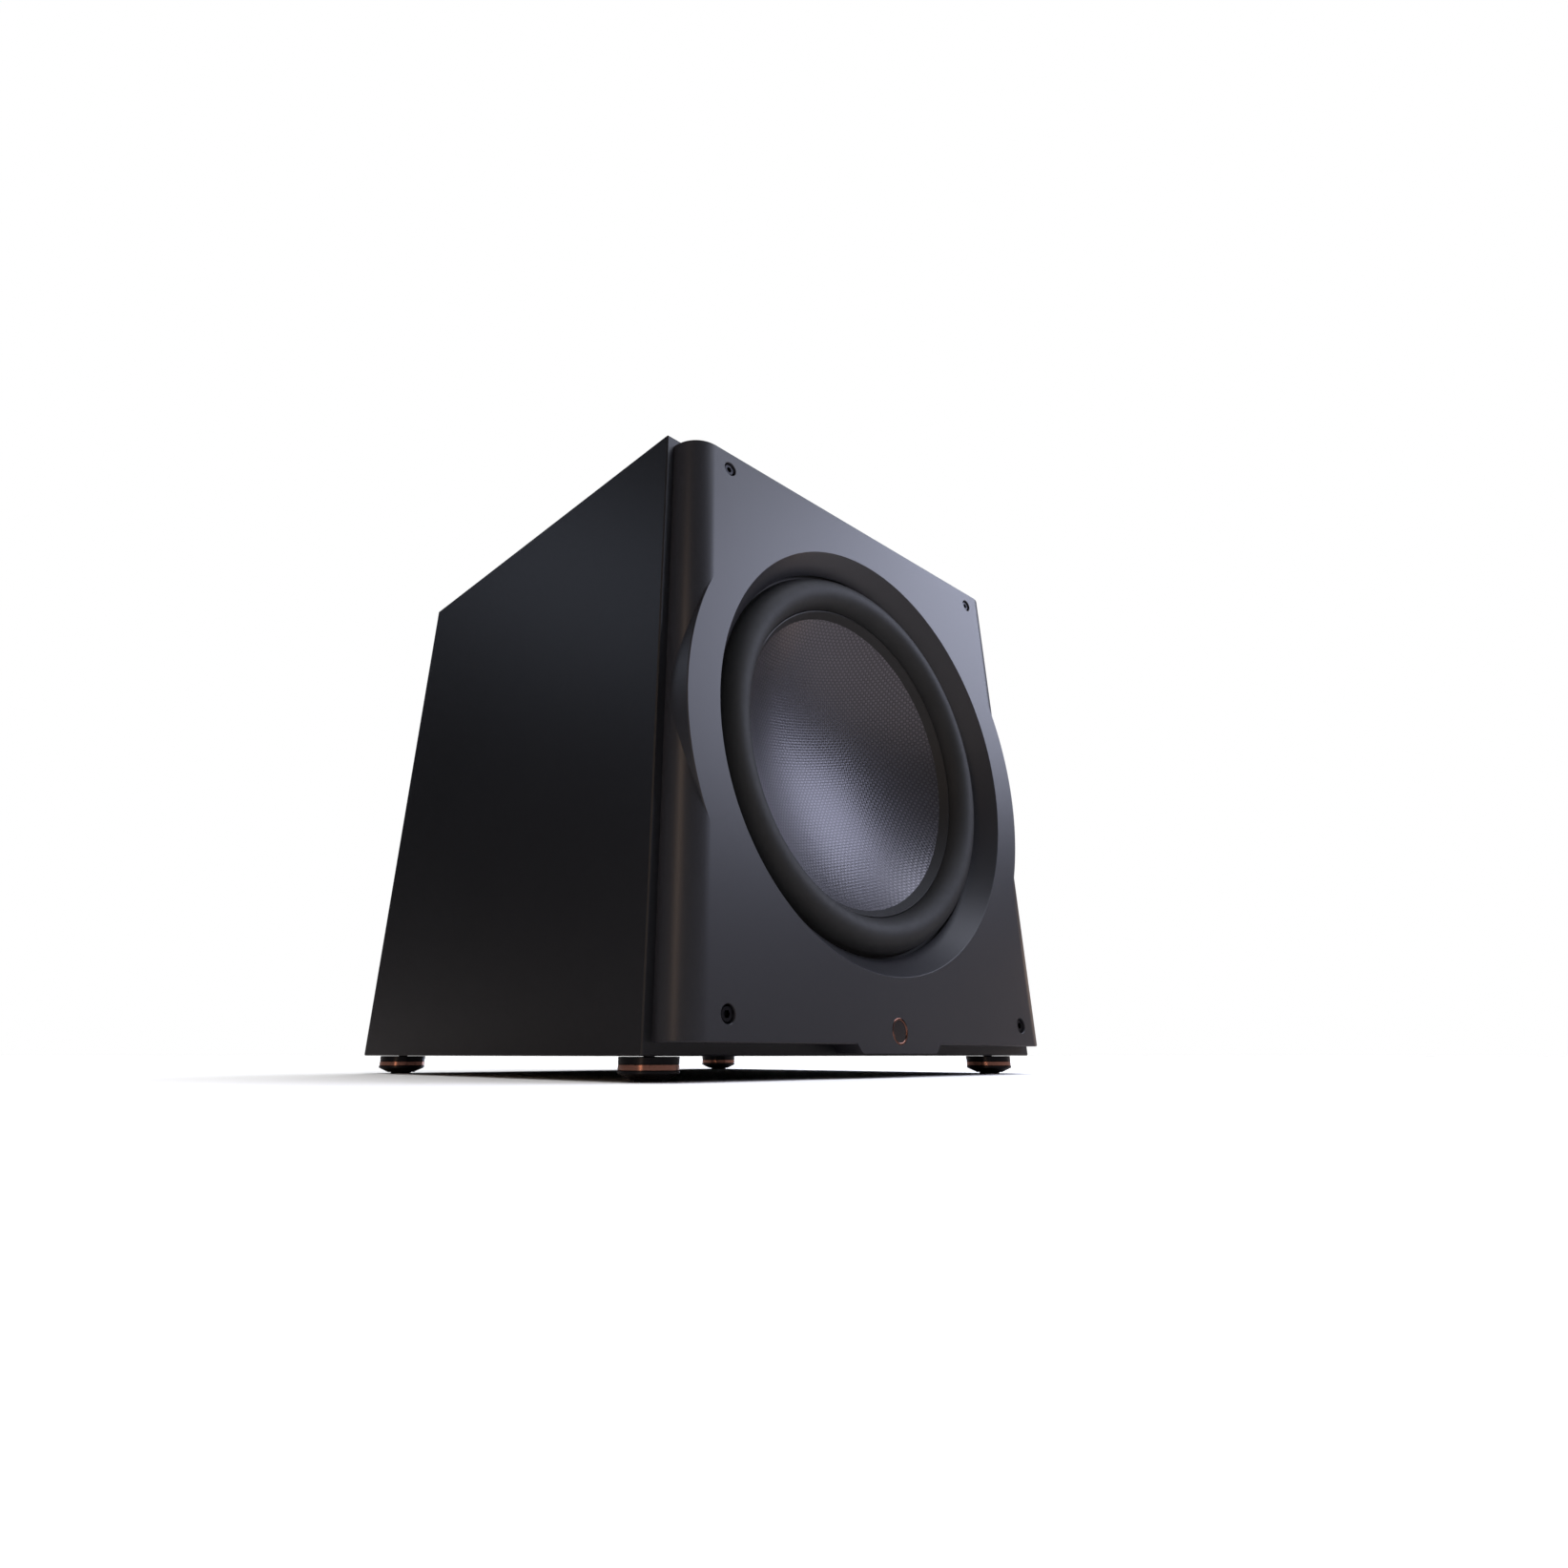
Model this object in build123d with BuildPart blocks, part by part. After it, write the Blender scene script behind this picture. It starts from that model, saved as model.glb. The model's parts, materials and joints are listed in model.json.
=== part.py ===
from build123d import *
import os
from math import cos, radians, sin, sqrt, tan

# Closed-box powered subwoofer: a glued cabinet, a thick front baffle with a round raised boss,
# one 15-inch driver, four turned feet and an amplifier plate let into the back.
# Millimetres. +X is right seen from the front, the front faces -Y and +Z is up.
# The origin is on the floor, in the middle of the overall box.
# "Depth" is counted rearwards from the cabinet's front plane, so the baffle has negative depths.

# ---- Cabinet ----
cabinet_width = 475.0
cabinet_height = 499.0
cabinet_depth = 453.0
panel_thickness = 19.0
front_panel_thickness = 25.0
cabinet_chamfer = 1.0
brace_thickness = 18.0
brace_depth = 230.0
brace_side_border = 68.5
brace_end_border = 65.5
brace_window_corner = 40.0
wadding_thickness = 18.0
wadding_margin = 12.0

# ---- Front baffle ----
baffle_thickness = 26.0
baffle_inset = 8.0
baffle_edge_chamfer = 0.8
boss_radius = 229.0
flare_front_radius = 195.6
flare_back_radius = 180.0
flare_depth = 21.2
flare_land = 0.6
flange_relief_clearance = 2.0
tab_drop = 6.4
tab_bottom_width = 97.4
tab_top_width = 106.4
tab_corner = 2.0
baffle_screw_inset_x = 51.5
baffle_screw_board_margin = 6.5
counterbore_radius = 6.4
counterbore_depth = 7.6
badge_height = 17.7
badge_radius = 10.0
badge_rim_width = 1.7
badge_thickness = 2.2
badge_disc_recess = 0.5

# ---- Socket-head screws: head radius, head height, shank radius, hexagon across flats ----
baffle_screw = (5.25, 6.0, 3.0, 5.0)
driver_screw = (4.6, 4.0, 2.5, 4.0)
amp_screw = (3.8, 2.2, 1.7, 2.5)
hex_socket_share = 0.55
screw_edge_share = 0.08
screw_tip_gap = 1.0
screw_clearance = 0.3
thread_clearance = 0.05
insert_wall = 1.7
insert_length = 16.0

# ---- Driver ----
driver_height = 254.0
flange_radius = 194.0
flange_inner_radius = 175.0
flange_front = 1.5
flange_thickness = 8.0
driver_gasket_thickness = 1.5
driver_screw_circle = 188.5
driver_screw_count = 8
basket_neck_radius = 181.0
basket_neck_depth = 32.0
basket_wall = 5.0
basket_leg_count = 6
basket_leg_width = 22.0
basket_lap = 1.0
spider_ledge_thickness = 3.0
cutout_clearance = 2.0
flange_clearance = 1.5
roll_middle_radius = 161.5
roll_half_width = 16.1
roll_height = 18.6
rubber_thickness = 2.6
surround_foot_width = 5.0
surround_foot_thickness = 1.4
surround_tongue = 2.0
cone_edge_radius = 138.8
cone_edge_depth = 6.4
dish_depth = 50.0
cone_thickness = 1.5
ring_lip_radius = 145.2
ring_lip_depth = -1.4
ring_lip_width = 1.2
spider_depth = 78.0
spider_outer_radius = 103.0
spider_land = 10.0
spider_thickness = 0.6
spider_wave = 4.0
spider_wave_count = 5
motor_depth = 105.0
basket_seat_inner_radius = 60.0
basket_motor_radius = 108.0
top_plate_radius = 100.0
top_plate_thickness = 12.0
coil_radius = 38.0
former_wall = 0.5
winding_wall = 1.25
winding_length = 40.0
pole_clearance = 0.8
pole_stand = 2.0
former_tail = 2.0
gap_clearance = 1.0
magnet_outer_radius = 110.0
magnet_inner_radius = 55.0
magnet_thickness = 20.0
glue_line = 0.3
back_plate_radius = 105.0
back_plate_thickness = 14.0
vent_radius = 12.0
shorting_ring_wall = 6.0
shorting_ring_height = 7.0
glue_fit = 0.05
terminal_width = 30.0
terminal_height = 12.0
terminal_length = 13.0
cable_radius = 2.5
cable_bend_share = 0.45
# How far right of the driver's axis and how far below its terminals the cable passes.
cable_way = ((0.0, 30.0), (6.0, 42.0), (16.0, 34.0), (30.0, 26.0))
cable_run_back = 44.0
cable_run_past_brace = 50.0
cable_run_to_board = 60.0
cable_approach = 12.0

# ---- Feet ----
foot_inset = 28.0
foot_height = 15.7
foot_gap = 0.3
foot_upper_radius = 20.9
foot_upper_height = 5.3
foot_band_height = 3.2
foot_band_wall = 3.5
foot_lower_radius = 21.1
foot_lower_height = 2.1
foot_edge = 0.5
foot_pad_radius = 9.3
foot_pad_thickness = 2.4
foot_pad_stand = 1.2
foot_stud_radius = 3.95
foot_stud_length = 15.0

# ---- Amplifier plate, let into the back ----
amp_width = 330.0
amp_height = 280.0
amp_corner = 12.0
amp_lip = 15.0
amp_centre_height = 235.0
amp_recess = 2.0
amp_plate_thickness = 3.0
amp_gasket_thickness = 1.0
amp_fit = 0.3
spreader_width = 130.0
spreader_height = 120.0
spreader_thickness = 12.0
spreader_x = 75.0
spreader_z = -50.0
board_thickness = 1.6
board_gap = 8.0
board_margin = 5.0
output_part_height = 20.0
output_coil_radius = 7.2
supply_part_height = 32.0
supply_capacitor_radius = 10.0
supply_width = 130.0
supply_height = 60.0
supply_x = -75.0
supply_z = -30.0
standoff_radius = 3.0
inlet_x = -105.0
inlet_z = -95.0
inlet_cavity = (24.2, 16.6, 17.0)
inlet_wall = 1.6
inlet_flange = 3.5
inlet_flange_thickness = 2.0
inlet_pin = (2.0, 4.0, 12.0)
inlet_pin_spots = ((0.0, 3.0), (-7.0, -2.5), (7.0, -2.5))
switch_x = -58.0
switch_z = -95.0
switch_cavity = (11.2, 17.4, 12.0)
switch_wall = 1.2
switch_flange = 1.8
rocker_radius = 8.4
rocker_side_gap = 0.3
rocker_stand = 1.2
rocker_height = 5.5
rocker_v_angle = 10.0
rocker_valley_depth = 0.9
rocker_tilt = 8.0
rocker_pin_radius = 1.25
rocker_pin_reach = 0.7
knob_x = -60.0
knob_z = 95.0
knob_radius = 14.0
knob_length = 13.0
knob_gap = 1.0
knob_flute_radius = 0.9
knob_flute_count = 36
knob_edge = 1.0
encoder_side = 13.0
encoder_depth = 9.0
encoder_floor = 1.0
bushing_radius = 3.5
bushing_length = 4.0
shaft_radius = 3.0
running_clearance = 0.05
plunger_length = 2.0
push_travel = 0.5
body_gap = 0.3
display_x = 35.0
display_z = 95.0
display_size = (44.0, 18.0, 6.0)
display_corner = 2.0
socket_z = 25.0
phono_x = (-125.0, -95.0)
phono_barrel_radius = 4.15
phono_barrel_length = 9.0
phono_wall = 0.9
phono_flange_radius = 6.0
phono_flange_thickness = 1.5
phono_contact_radius = 1.7
phono_contact_depth = 8.0
trigger_x = -58.0
trigger_radius = 5.0
trigger_shoulder = 1.0
trigger_length = 3.0
trigger_bore_radius = 1.8
trigger_bore_depth = 12.0
socket_tail = 12.0

# ---- Places worked out from the sizes above ----
rear_stand = knob_gap + knob_length - amp_recess
total_depth = baffle_thickness + cabinet_depth + rear_stand
face_y = baffle_thickness - total_depth / 2
baffle_front = face_y - baffle_thickness
back_y = face_y + cabinet_depth
cabinet_top = foot_height + cabinet_height
cabinet_middle_z = foot_height + cabinet_height / 2
driver_z = foot_height + driver_height
inner_width = cabinet_width - 2 * panel_thickness
inner_height = cabinet_height - 2 * panel_thickness
inner_depth = cabinet_depth - front_panel_thickness - panel_thickness
flange_relief_radius = flange_radius + flange_relief_clearance
amp_z = foot_height + amp_centre_height
plate_face = back_y - amp_recess
plate_back = plate_face - amp_plate_thickness
rebate_floor = plate_back - amp_gasket_thickness
driver_plane = Plane.XY.offset(driver_z)
driver_axis = Axis((0, 0, driver_z), (0, 1, 0))


def across(y):
    """An upright plane across the cabinet, x to the right and y up; a negative extrusion goes rearwards."""
    return Plane.XZ.offset(-y)


def at_depth(depth):
    """The upright plane at a depth behind the cabinet's front plane."""
    return across(face_y + depth)


def turned_ring(inner, outer, front, back):
    """A plain ring on the driver's axis between two depths."""
    with BuildPart() as ring:
        with BuildSketch(at_depth(front)):
            with Locations((0, driver_z)):
                Circle(outer)
                Circle(inner, mode=Mode.SUBTRACT)
        extrude(amount=front - back)
    return ring


def turned(points):
    """A solid turned about the driver's axis from (radius, depth) corners."""
    with BuildPart() as solid:
        with BuildSketch(driver_plane):
            with BuildLine():
                Polyline([(radius, face_y + depth) for radius, depth in points], close=True)
            make_face()
        revolve(axis=driver_axis)
    return solid


def panel(width, depth, height, centre):
    """A plain board with its middle at centre."""
    with BuildPart() as board:
        with Locations(centre):
            Box(width, depth, height)
    return board


def socket_screws(points, start, way, size, length):
    """Hexagon-socket screws with their heads at y = start; way is 1 rearwards or -1 forwards."""
    head_radius, head_height, shank_radius, hex_across = size
    with BuildPart() as screws:
        with BuildSketch(across(start)):
            with Locations(*points):
                Circle(head_radius)
        extrude(amount=-way * head_height)
        head_faces = screws.faces().sort_by(Axis.Y)[::way][: len(points)]
        chamfer(head_faces.edges(), head_height * screw_edge_share)
        with BuildSketch(across(start + way * head_height)):
            with Locations(*points):
                Circle(shank_radius)
        extrude(amount=-way * length)
        with BuildSketch(across(start)):
            with Locations(*points):
                RegularPolygon(hex_across / sqrt(3), 6)
        extrude(amount=-way * head_height * hex_socket_share, mode=Mode.SUBTRACT)
    return screws


def drill(points, radius, start, depth):
    """Cuts round holes rearwards from y = start into the part being built."""
    with BuildSketch(across(start)) as holes:
        with Locations(*points):
            Circle(radius)
    extrude(holes.sketch, amount=-depth, mode=Mode.SUBTRACT)


# ---- Cabinet boards ----
side_y = face_y + front_panel_thickness + inner_depth / 2
side_x = (cabinet_width - panel_thickness) / 2
foot_spots = {
    "front_left": (-1, -1),
    "front_right": (1, -1),
    "rear_left": (-1, 1),
    "rear_right": (1, 1),
}
cabinet_middle_y = face_y + cabinet_depth / 2
foot_reach_x = cabinet_width / 2 - foot_inset
foot_reach_y = cabinet_depth / 2 - foot_inset
foot_centres = {
    name: (side * foot_reach_x, cabinet_middle_y + end * foot_reach_y)
    for name, (side, end) in foot_spots.items()
}
foot_insert_radius = foot_stud_radius + thread_clearance + insert_wall

left_side_panel = panel(panel_thickness, inner_depth, inner_height, (-side_x, side_y, cabinet_middle_z))
right_side_panel = panel(panel_thickness, inner_depth, inner_height, (side_x, side_y, cabinet_middle_z))

with BuildPart() as top_panel:
    with Locations((0, cabinet_middle_y, cabinet_top - panel_thickness / 2)):
        Box(cabinet_width, cabinet_depth, panel_thickness)
    upright_edges = top_panel.edges().filter_by(Axis.Z)
    top_edges = top_panel.faces().sort_by(Axis.Z)[-1].edges()
    chamfer(upright_edges + top_edges, cabinet_chamfer)

with BuildPart() as bottom_panel:
    with Locations((0, cabinet_middle_y, foot_height + panel_thickness / 2)):
        Box(cabinet_width, cabinet_depth, panel_thickness)
    upright_edges = bottom_panel.edges().filter_by(Axis.Z)
    bottom_edges = bottom_panel.faces().sort_by(Axis.Z)[0].edges()
    chamfer(upright_edges + bottom_edges, cabinet_chamfer)
    with BuildSketch(Plane.XY.offset(foot_height)):
        with Locations(*foot_centres.values()):
            Circle(foot_insert_radius)
    extrude(amount=insert_length, mode=Mode.SUBTRACT)

# The front board carries the driver in a rebate and the baffle on threaded inserts.
rebate_depth = flange_front + flange_thickness + driver_gasket_thickness
cutout_radius = basket_neck_radius + cutout_clearance
rebate_radius = flange_radius + flange_clearance
screw_reach_x = cabinet_width / 2 - baffle_screw_inset_x
screw_reach_z = cabinet_height / 2 - panel_thickness - baffle_screw_board_margin
baffle_screw_points = [
    (x, cabinet_middle_z + z)
    for x in (-screw_reach_x, screw_reach_x)
    for z in (-screw_reach_z, screw_reach_z)
]
baffle_insert_radius = baffle_screw[2] + thread_clearance + insert_wall
driver_screw_angles = [radians(360 * index / driver_screw_count) for index in range(driver_screw_count)]
driver_screw_points = [
    (driver_screw_circle * cos(angle), driver_z + driver_screw_circle * sin(angle))
    for angle in driver_screw_angles
]

with BuildPart() as front_panel:
    with Locations((0, face_y + front_panel_thickness / 2, cabinet_middle_z)):
        Box(cabinet_width, front_panel_thickness, inner_height)
    chamfer(front_panel.edges().filter_by(Axis.Z).sort_by(Axis.Y)[:2], cabinet_chamfer)
    drill([(0, driver_z)], cutout_radius, face_y, front_panel_thickness)
    drill([(0, driver_z)], rebate_radius, face_y, rebate_depth)
    drill(baffle_screw_points, baffle_insert_radius, face_y, insert_length)
    drill(driver_screw_points, driver_screw[2] + thread_clearance, face_y, front_panel_thickness)

# The rear board has a stepped opening: the amplifier plate lies in its rebate.
amp_rebate_depth = back_y - rebate_floor
amp_inner_width = amp_width - 2 * amp_lip
amp_inner_height = amp_height - 2 * amp_lip
amp_screw_x = (amp_width - amp_lip) / 2
amp_screw_z = (amp_height - amp_lip) / 2
amp_screw_points = [
    (x, amp_z + z)
    for x in (-amp_screw_x, 0, amp_screw_x)
    for z in (-amp_screw_z, amp_screw_z)
]
amp_screw_points += [
    (x, amp_z + z)
    for x in (-amp_screw_x, amp_screw_x)
    for z in (-amp_screw_z / 3, amp_screw_z / 3)
]
amp_screw_length = amp_plate_thickness + amp_gasket_thickness + panel_thickness / 2

with BuildPart() as rear_panel:
    with Locations((0, back_y - panel_thickness / 2, cabinet_middle_z)):
        Box(cabinet_width, panel_thickness, inner_height)
    chamfer(rear_panel.edges().filter_by(Axis.Z).sort_by(Axis.Y)[-2:], cabinet_chamfer)
    with BuildSketch(across(back_y)):
        with Locations((0, amp_z)):
            RectangleRounded(amp_width, amp_height, amp_corner)
    extrude(amount=amp_rebate_depth, mode=Mode.SUBTRACT)
    with BuildSketch(across(back_y)):
        with Locations((0, amp_z)):
            RectangleRounded(amp_inner_width, amp_inner_height, amp_corner)
    extrude(amount=panel_thickness, mode=Mode.SUBTRACT)
    drill(
        amp_screw_points,
        amp_screw[2] + thread_clearance,
        plate_face - amp_screw_length,
        amp_screw_length,
    )

with BuildPart() as window_brace:
    with BuildSketch(at_depth(brace_depth)):
        with Locations((0, cabinet_middle_z)):
            Rectangle(inner_width, inner_height)
            RectangleRounded(
                inner_width - 2 * brace_side_border,
                inner_height - 2 * brace_end_border,
                brace_window_corner,
                mode=Mode.SUBTRACT,
            )
    extrude(amount=-brace_thickness)

# Soft wadding on the side walls, in front of the brace and behind it.
wadding_x = (inner_width - wadding_thickness) / 2
wadding_height = inner_height - 2 * wadding_margin
wadding_spans = (
    (front_panel_thickness, brace_depth),
    (brace_depth + brace_thickness, cabinet_depth - panel_thickness),
)
with BuildPart() as damping_wadding:
    for span_front, span_back in wadding_spans:
        span_middle = face_y + (span_front + span_back) / 2
        span_length = span_back - span_front - 2 * wadding_margin
        for pad_x in (-wadding_x, wadding_x):
            with Locations((pad_x, span_middle, cabinet_middle_z)):
                Box(wadding_thickness, span_length, wadding_height)

# ---- Front baffle, its screws and the plain badge ----
baffle_half = cabinet_width / 2 - baffle_inset
baffle_flat = baffle_half - baffle_thickness
baffle_bottom = foot_height + baffle_inset
baffle_height = cabinet_height - 2 * baffle_inset
round_middle = baffle_thickness * sqrt(0.5)
badge_z = foot_height + badge_height

with BuildPart() as front_baffle:
    with BuildSketch(Plane.XY.offset(baffle_bottom)):
        with BuildLine():
            Line((-baffle_half, face_y), (baffle_half, face_y))
            ThreePointArc(
                (baffle_half, face_y),
                (baffle_flat + round_middle, face_y - round_middle),
                (baffle_flat, baffle_front),
            )
            Line((baffle_flat, baffle_front), (-baffle_flat, baffle_front))
            ThreePointArc(
                (-baffle_flat, baffle_front),
                (-baffle_flat - round_middle, face_y - round_middle),
                (-baffle_half, face_y),
            )
        make_face()
    extrude(amount=baffle_height)
    rims = front_baffle.edges().group_by(Axis.Z)[0] + front_baffle.edges().group_by(Axis.Z)[-1]
    chamfer(rims.filter_by(lambda rim: rim.center().Y < face_y - baffle_edge_chamfer), baffle_edge_chamfer)
    # The tab at the bottom, with sloping ends.
    tab_bottom = baffle_bottom - tab_drop
    tab_top = baffle_bottom + 2 * baffle_edge_chamfer
    with BuildSketch(across(face_y)):
        with BuildLine():
            Polyline(
                (-tab_bottom_width / 2, tab_bottom),
                (tab_bottom_width / 2, tab_bottom),
                (tab_top_width / 2, baffle_bottom),
                (tab_top_width / 2, tab_top),
                (-tab_top_width / 2, tab_top),
                (-tab_top_width / 2, baffle_bottom),
                close=True,
            )
        tab = make_face()
        fillet(tab.vertices().sort_by(Axis.Z)[:2], tab_corner)
    extrude(amount=baffle_thickness)
    # The round boss is flush with the front and stands out where the sides round away.
    with BuildSketch(driver_plane):
        with BuildLine():
            Polyline(
                (0, face_y),
                (boss_radius, face_y),
                (boss_radius, baffle_front + baffle_edge_chamfer),
                (boss_radius - baffle_edge_chamfer, baffle_front),
                (0, baffle_front),
                close=True,
            )
        make_face()
    revolve(axis=driver_axis)
    # The conical flare, and the relief that the driver's flange and screw heads sit in.
    flare_end = baffle_front + flare_depth
    with BuildSketch(driver_plane):
        with BuildLine():
            Polyline(
                (0, baffle_front),
                (flare_front_radius, baffle_front),
                (flare_back_radius, flare_end),
                (flare_back_radius, flare_end + flare_land),
                (flange_relief_radius, flare_end + flare_land),
                (flange_relief_radius, face_y),
                (0, face_y),
                close=True,
            )
        make_face()
    revolve(axis=driver_axis, mode=Mode.SUBTRACT)
    drill(baffle_screw_points, counterbore_radius, baffle_front, counterbore_depth)
    drill(baffle_screw_points, baffle_screw[2] + screw_clearance, baffle_front, baffle_thickness)
    drill([(0, badge_z)], badge_radius + glue_fit, baffle_front, badge_thickness)

baffle_screw_length = baffle_thickness - counterbore_depth + insert_length - screw_tip_gap
baffle_screws = socket_screws(
    baffle_screw_points,
    baffle_front + counterbore_depth - baffle_screw[1],
    1,
    baffle_screw,
    baffle_screw_length,
)

with BuildPart() as baffle_inserts:
    with BuildSketch(across(face_y)):
        with Locations(*baffle_screw_points):
            Circle(baffle_insert_radius - glue_fit)
            Circle(baffle_screw[2] + thread_clearance, mode=Mode.SUBTRACT)
    extrude(amount=-insert_length)

with BuildPart() as badge_rim:
    with BuildSketch(across(baffle_front)):
        with Locations((0, badge_z)):
            Circle(badge_radius)
            Circle(badge_radius - badge_rim_width, mode=Mode.SUBTRACT)
    extrude(amount=-badge_thickness)
    fillet(badge_rim.faces().sort_by(Axis.Y)[0].edges(), badge_rim_width / 3)

with BuildPart() as badge_disc:
    with BuildSketch(across(baffle_front + badge_disc_recess)):
        with Locations((0, badge_z)):
            Circle(badge_radius - badge_rim_width - glue_fit)
    extrude(amount=badge_disc_recess - badge_thickness)

# ---- Driver: what stands still ----
flange_back = flange_front + flange_thickness
basket_foot = spider_depth + basket_wall
driver_hole_radius = driver_screw[2] + screw_clearance
basket_throat = basket_motor_radius - basket_wall - basket_lap
spider_ledge_back = spider_depth + spider_ledge_thickness
with BuildPart() as driver_basket:
    with BuildSketch(driver_plane):
        with BuildLine():
            Polyline(
                (flange_inner_radius, face_y + flange_front),
                (flange_radius, face_y + flange_front),
                (flange_radius, face_y + flange_back),
                (basket_neck_radius, face_y + flange_back),
                (basket_neck_radius, face_y + basket_neck_depth + basket_wall),
                (basket_motor_radius, face_y + basket_foot + basket_lap),
                (basket_motor_radius, face_y + motor_depth),
                (basket_seat_inner_radius, face_y + motor_depth),
                (basket_seat_inner_radius, face_y + motor_depth - basket_wall),
                (basket_throat, face_y + motor_depth - basket_wall),
                (basket_throat, face_y + spider_ledge_back),
                (spider_outer_radius - spider_land, face_y + spider_ledge_back),
                (spider_outer_radius - spider_land, face_y + spider_depth),
                (spider_outer_radius + basket_lap, face_y + spider_depth),
                (flange_inner_radius, face_y + basket_neck_depth),
                close=True,
            )
        make_face()
    revolve(axis=driver_axis)
    # Windows between the legs of the casting.
    with BuildSketch(at_depth(flange_back + basket_lap)):
        with Locations((0, driver_z)):
            Circle(flange_inner_radius - basket_wall)
            Circle(basket_motor_radius + basket_wall, mode=Mode.SUBTRACT)
            with PolarLocations(flange_inner_radius / 2, basket_leg_count, start_angle=90):
                Rectangle(flange_inner_radius, basket_leg_width, mode=Mode.SUBTRACT)
    extrude(amount=flange_back + basket_lap - basket_foot, mode=Mode.SUBTRACT)
    drill(driver_screw_points, driver_hole_radius, face_y + flange_front, flange_thickness)

with BuildPart() as driver_gasket:
    with BuildSketch(at_depth(flange_back)):
        with Locations((0, driver_z)):
            Circle(flange_radius)
            Circle(cutout_radius, mode=Mode.SUBTRACT)
    extrude(amount=-driver_gasket_thickness)
    drill(driver_screw_points, driver_hole_radius, face_y + flange_back, driver_gasket_thickness)

driver_screws = socket_screws(
    driver_screw_points,
    face_y + flange_front - driver_screw[1],
    1,
    driver_screw,
    front_panel_thickness - flange_front - screw_tip_gap,
)

# The motor: a front plate, two magnets and a T-shaped yoke, with a long coil hanging in the gap.
coil_outer_radius = coil_radius + former_wall + winding_wall
top_plate_back = motor_depth + top_plate_thickness
yoke_face = top_plate_back + 2 * magnet_thickness
pole_radius = coil_radius - pole_clearance
pole_front = motor_depth - pole_stand
winding_front = (motor_depth + top_plate_back - winding_length) / 2
winding_back = winding_front + winding_length
former_back = winding_back + former_tail

top_plate = turned_ring(coil_outer_radius + gap_clearance, top_plate_radius, motor_depth, top_plate_back)
with BuildPart() as magnet_rings:
    for magnet_index in range(2):
        magnet_front = top_plate_back + magnet_index * magnet_thickness + glue_line / 2
        with BuildSketch(at_depth(magnet_front)):
            with Locations((0, driver_z)):
                Circle(magnet_outer_radius)
                Circle(magnet_inner_radius, mode=Mode.SUBTRACT)
        extrude(amount=glue_line - magnet_thickness)
pole_yoke = turned(
    [
        (vent_radius, pole_front),
        (pole_radius, pole_front),
        (pole_radius, yoke_face),
        (back_plate_radius, yoke_face),
        (back_plate_radius, yoke_face + back_plate_thickness),
        (vent_radius, yoke_face + back_plate_thickness),
    ]
)
shorting_ring = turned_ring(
    pole_radius + glue_fit,
    pole_radius + shorting_ring_wall,
    yoke_face - shorting_ring_height,
    yoke_face,
)

terminal_front = motor_depth - basket_wall - terminal_length
terminal_bottom = driver_z - basket_motor_radius - terminal_height
with BuildPart() as terminal_strip:
    with BuildSketch(at_depth(terminal_front)):
        with Locations((0, terminal_bottom)):
            Rectangle(terminal_width, 2 * terminal_height, align=(Align.CENTER, Align.MIN))
        with Locations((0, driver_z)):
            Circle(basket_motor_radius + glue_fit, mode=Mode.SUBTRACT)
    extrude(amount=-terminal_length)

# ---- Driver: the roll surround and the spider, which flex ----
roll_inner = roll_middle_radius - roll_half_width
roll_outer = roll_middle_radius + roll_half_width
roll_base = face_y + flange_front
surround_foot_outer = roll_outer + surround_foot_width
inner_foot_front = cone_edge_depth - surround_foot_thickness
with BuildPart() as surround:
    with BuildSketch(driver_plane):
        with Locations((roll_middle_radius, roll_base)):
            Ellipse(roll_half_width, roll_height)
            Ellipse(roll_half_width - rubber_thickness, roll_height - rubber_thickness, mode=Mode.SUBTRACT)
            Rectangle(
                3 * roll_half_width,
                2 * roll_height,
                align=(Align.CENTER, Align.MIN),
                mode=Mode.SUBTRACT,
            )
        with Locations((surround_foot_outer, roll_base)):
            Rectangle(
                surround_foot_width + rubber_thickness,
                surround_foot_thickness,
                align=(Align.MAX, Align.MAX),
            )
        with Locations((roll_inner, face_y + cone_edge_depth)):
            Rectangle(
                rubber_thickness,
                cone_edge_depth - flange_front,
                align=(Align.MIN, Align.MAX),
            )
            Rectangle(
                2 * (roll_inner - ring_lip_radius + surround_tongue),
                surround_foot_thickness,
                align=(Align.CENTER, Align.MAX),
            )
    revolve(axis=driver_axis)

spider_front = spider_depth - spider_thickness
spider_inner_radius = coil_radius + former_wall + glue_fit
wave_start = spider_inner_radius + spider_land / 3
wave_pitch = (spider_outer_radius - spider_land - wave_start) / spider_wave_count
spider_front_edge = [(spider_inner_radius, spider_front)]
for wave_index in range(spider_wave_count):
    wave_radius = wave_start + wave_index * wave_pitch
    spider_front_edge += [
        (wave_radius, spider_front),
        (wave_radius + wave_pitch / 4, spider_front - spider_wave / 2),
        (wave_radius + wave_pitch / 2, spider_front - spider_wave / 2),
        (wave_radius + wave_pitch * 3 / 4, spider_front),
    ]
spider_front_edge += [(spider_outer_radius, spider_front)]
spider_back_edge = [(radius, depth + spider_thickness) for radius, depth in reversed(spider_front_edge)]
spider = turned(spider_front_edge + spider_back_edge)

# ---- Driver: what moves with the cone ----
dish_radius = (cone_edge_radius**2 + dish_depth**2) / (2 * dish_depth)
dish_centre = face_y + cone_edge_depth + dish_depth - dish_radius
dish_back_radius = dish_radius + cone_thickness
rim_outer_radius = roll_inner + rubber_thickness
rim_back = face_y + cone_edge_depth + cone_thickness
rim_meets_dish = sqrt(dish_back_radius**2 - (rim_back - dish_centre) ** 2)


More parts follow.
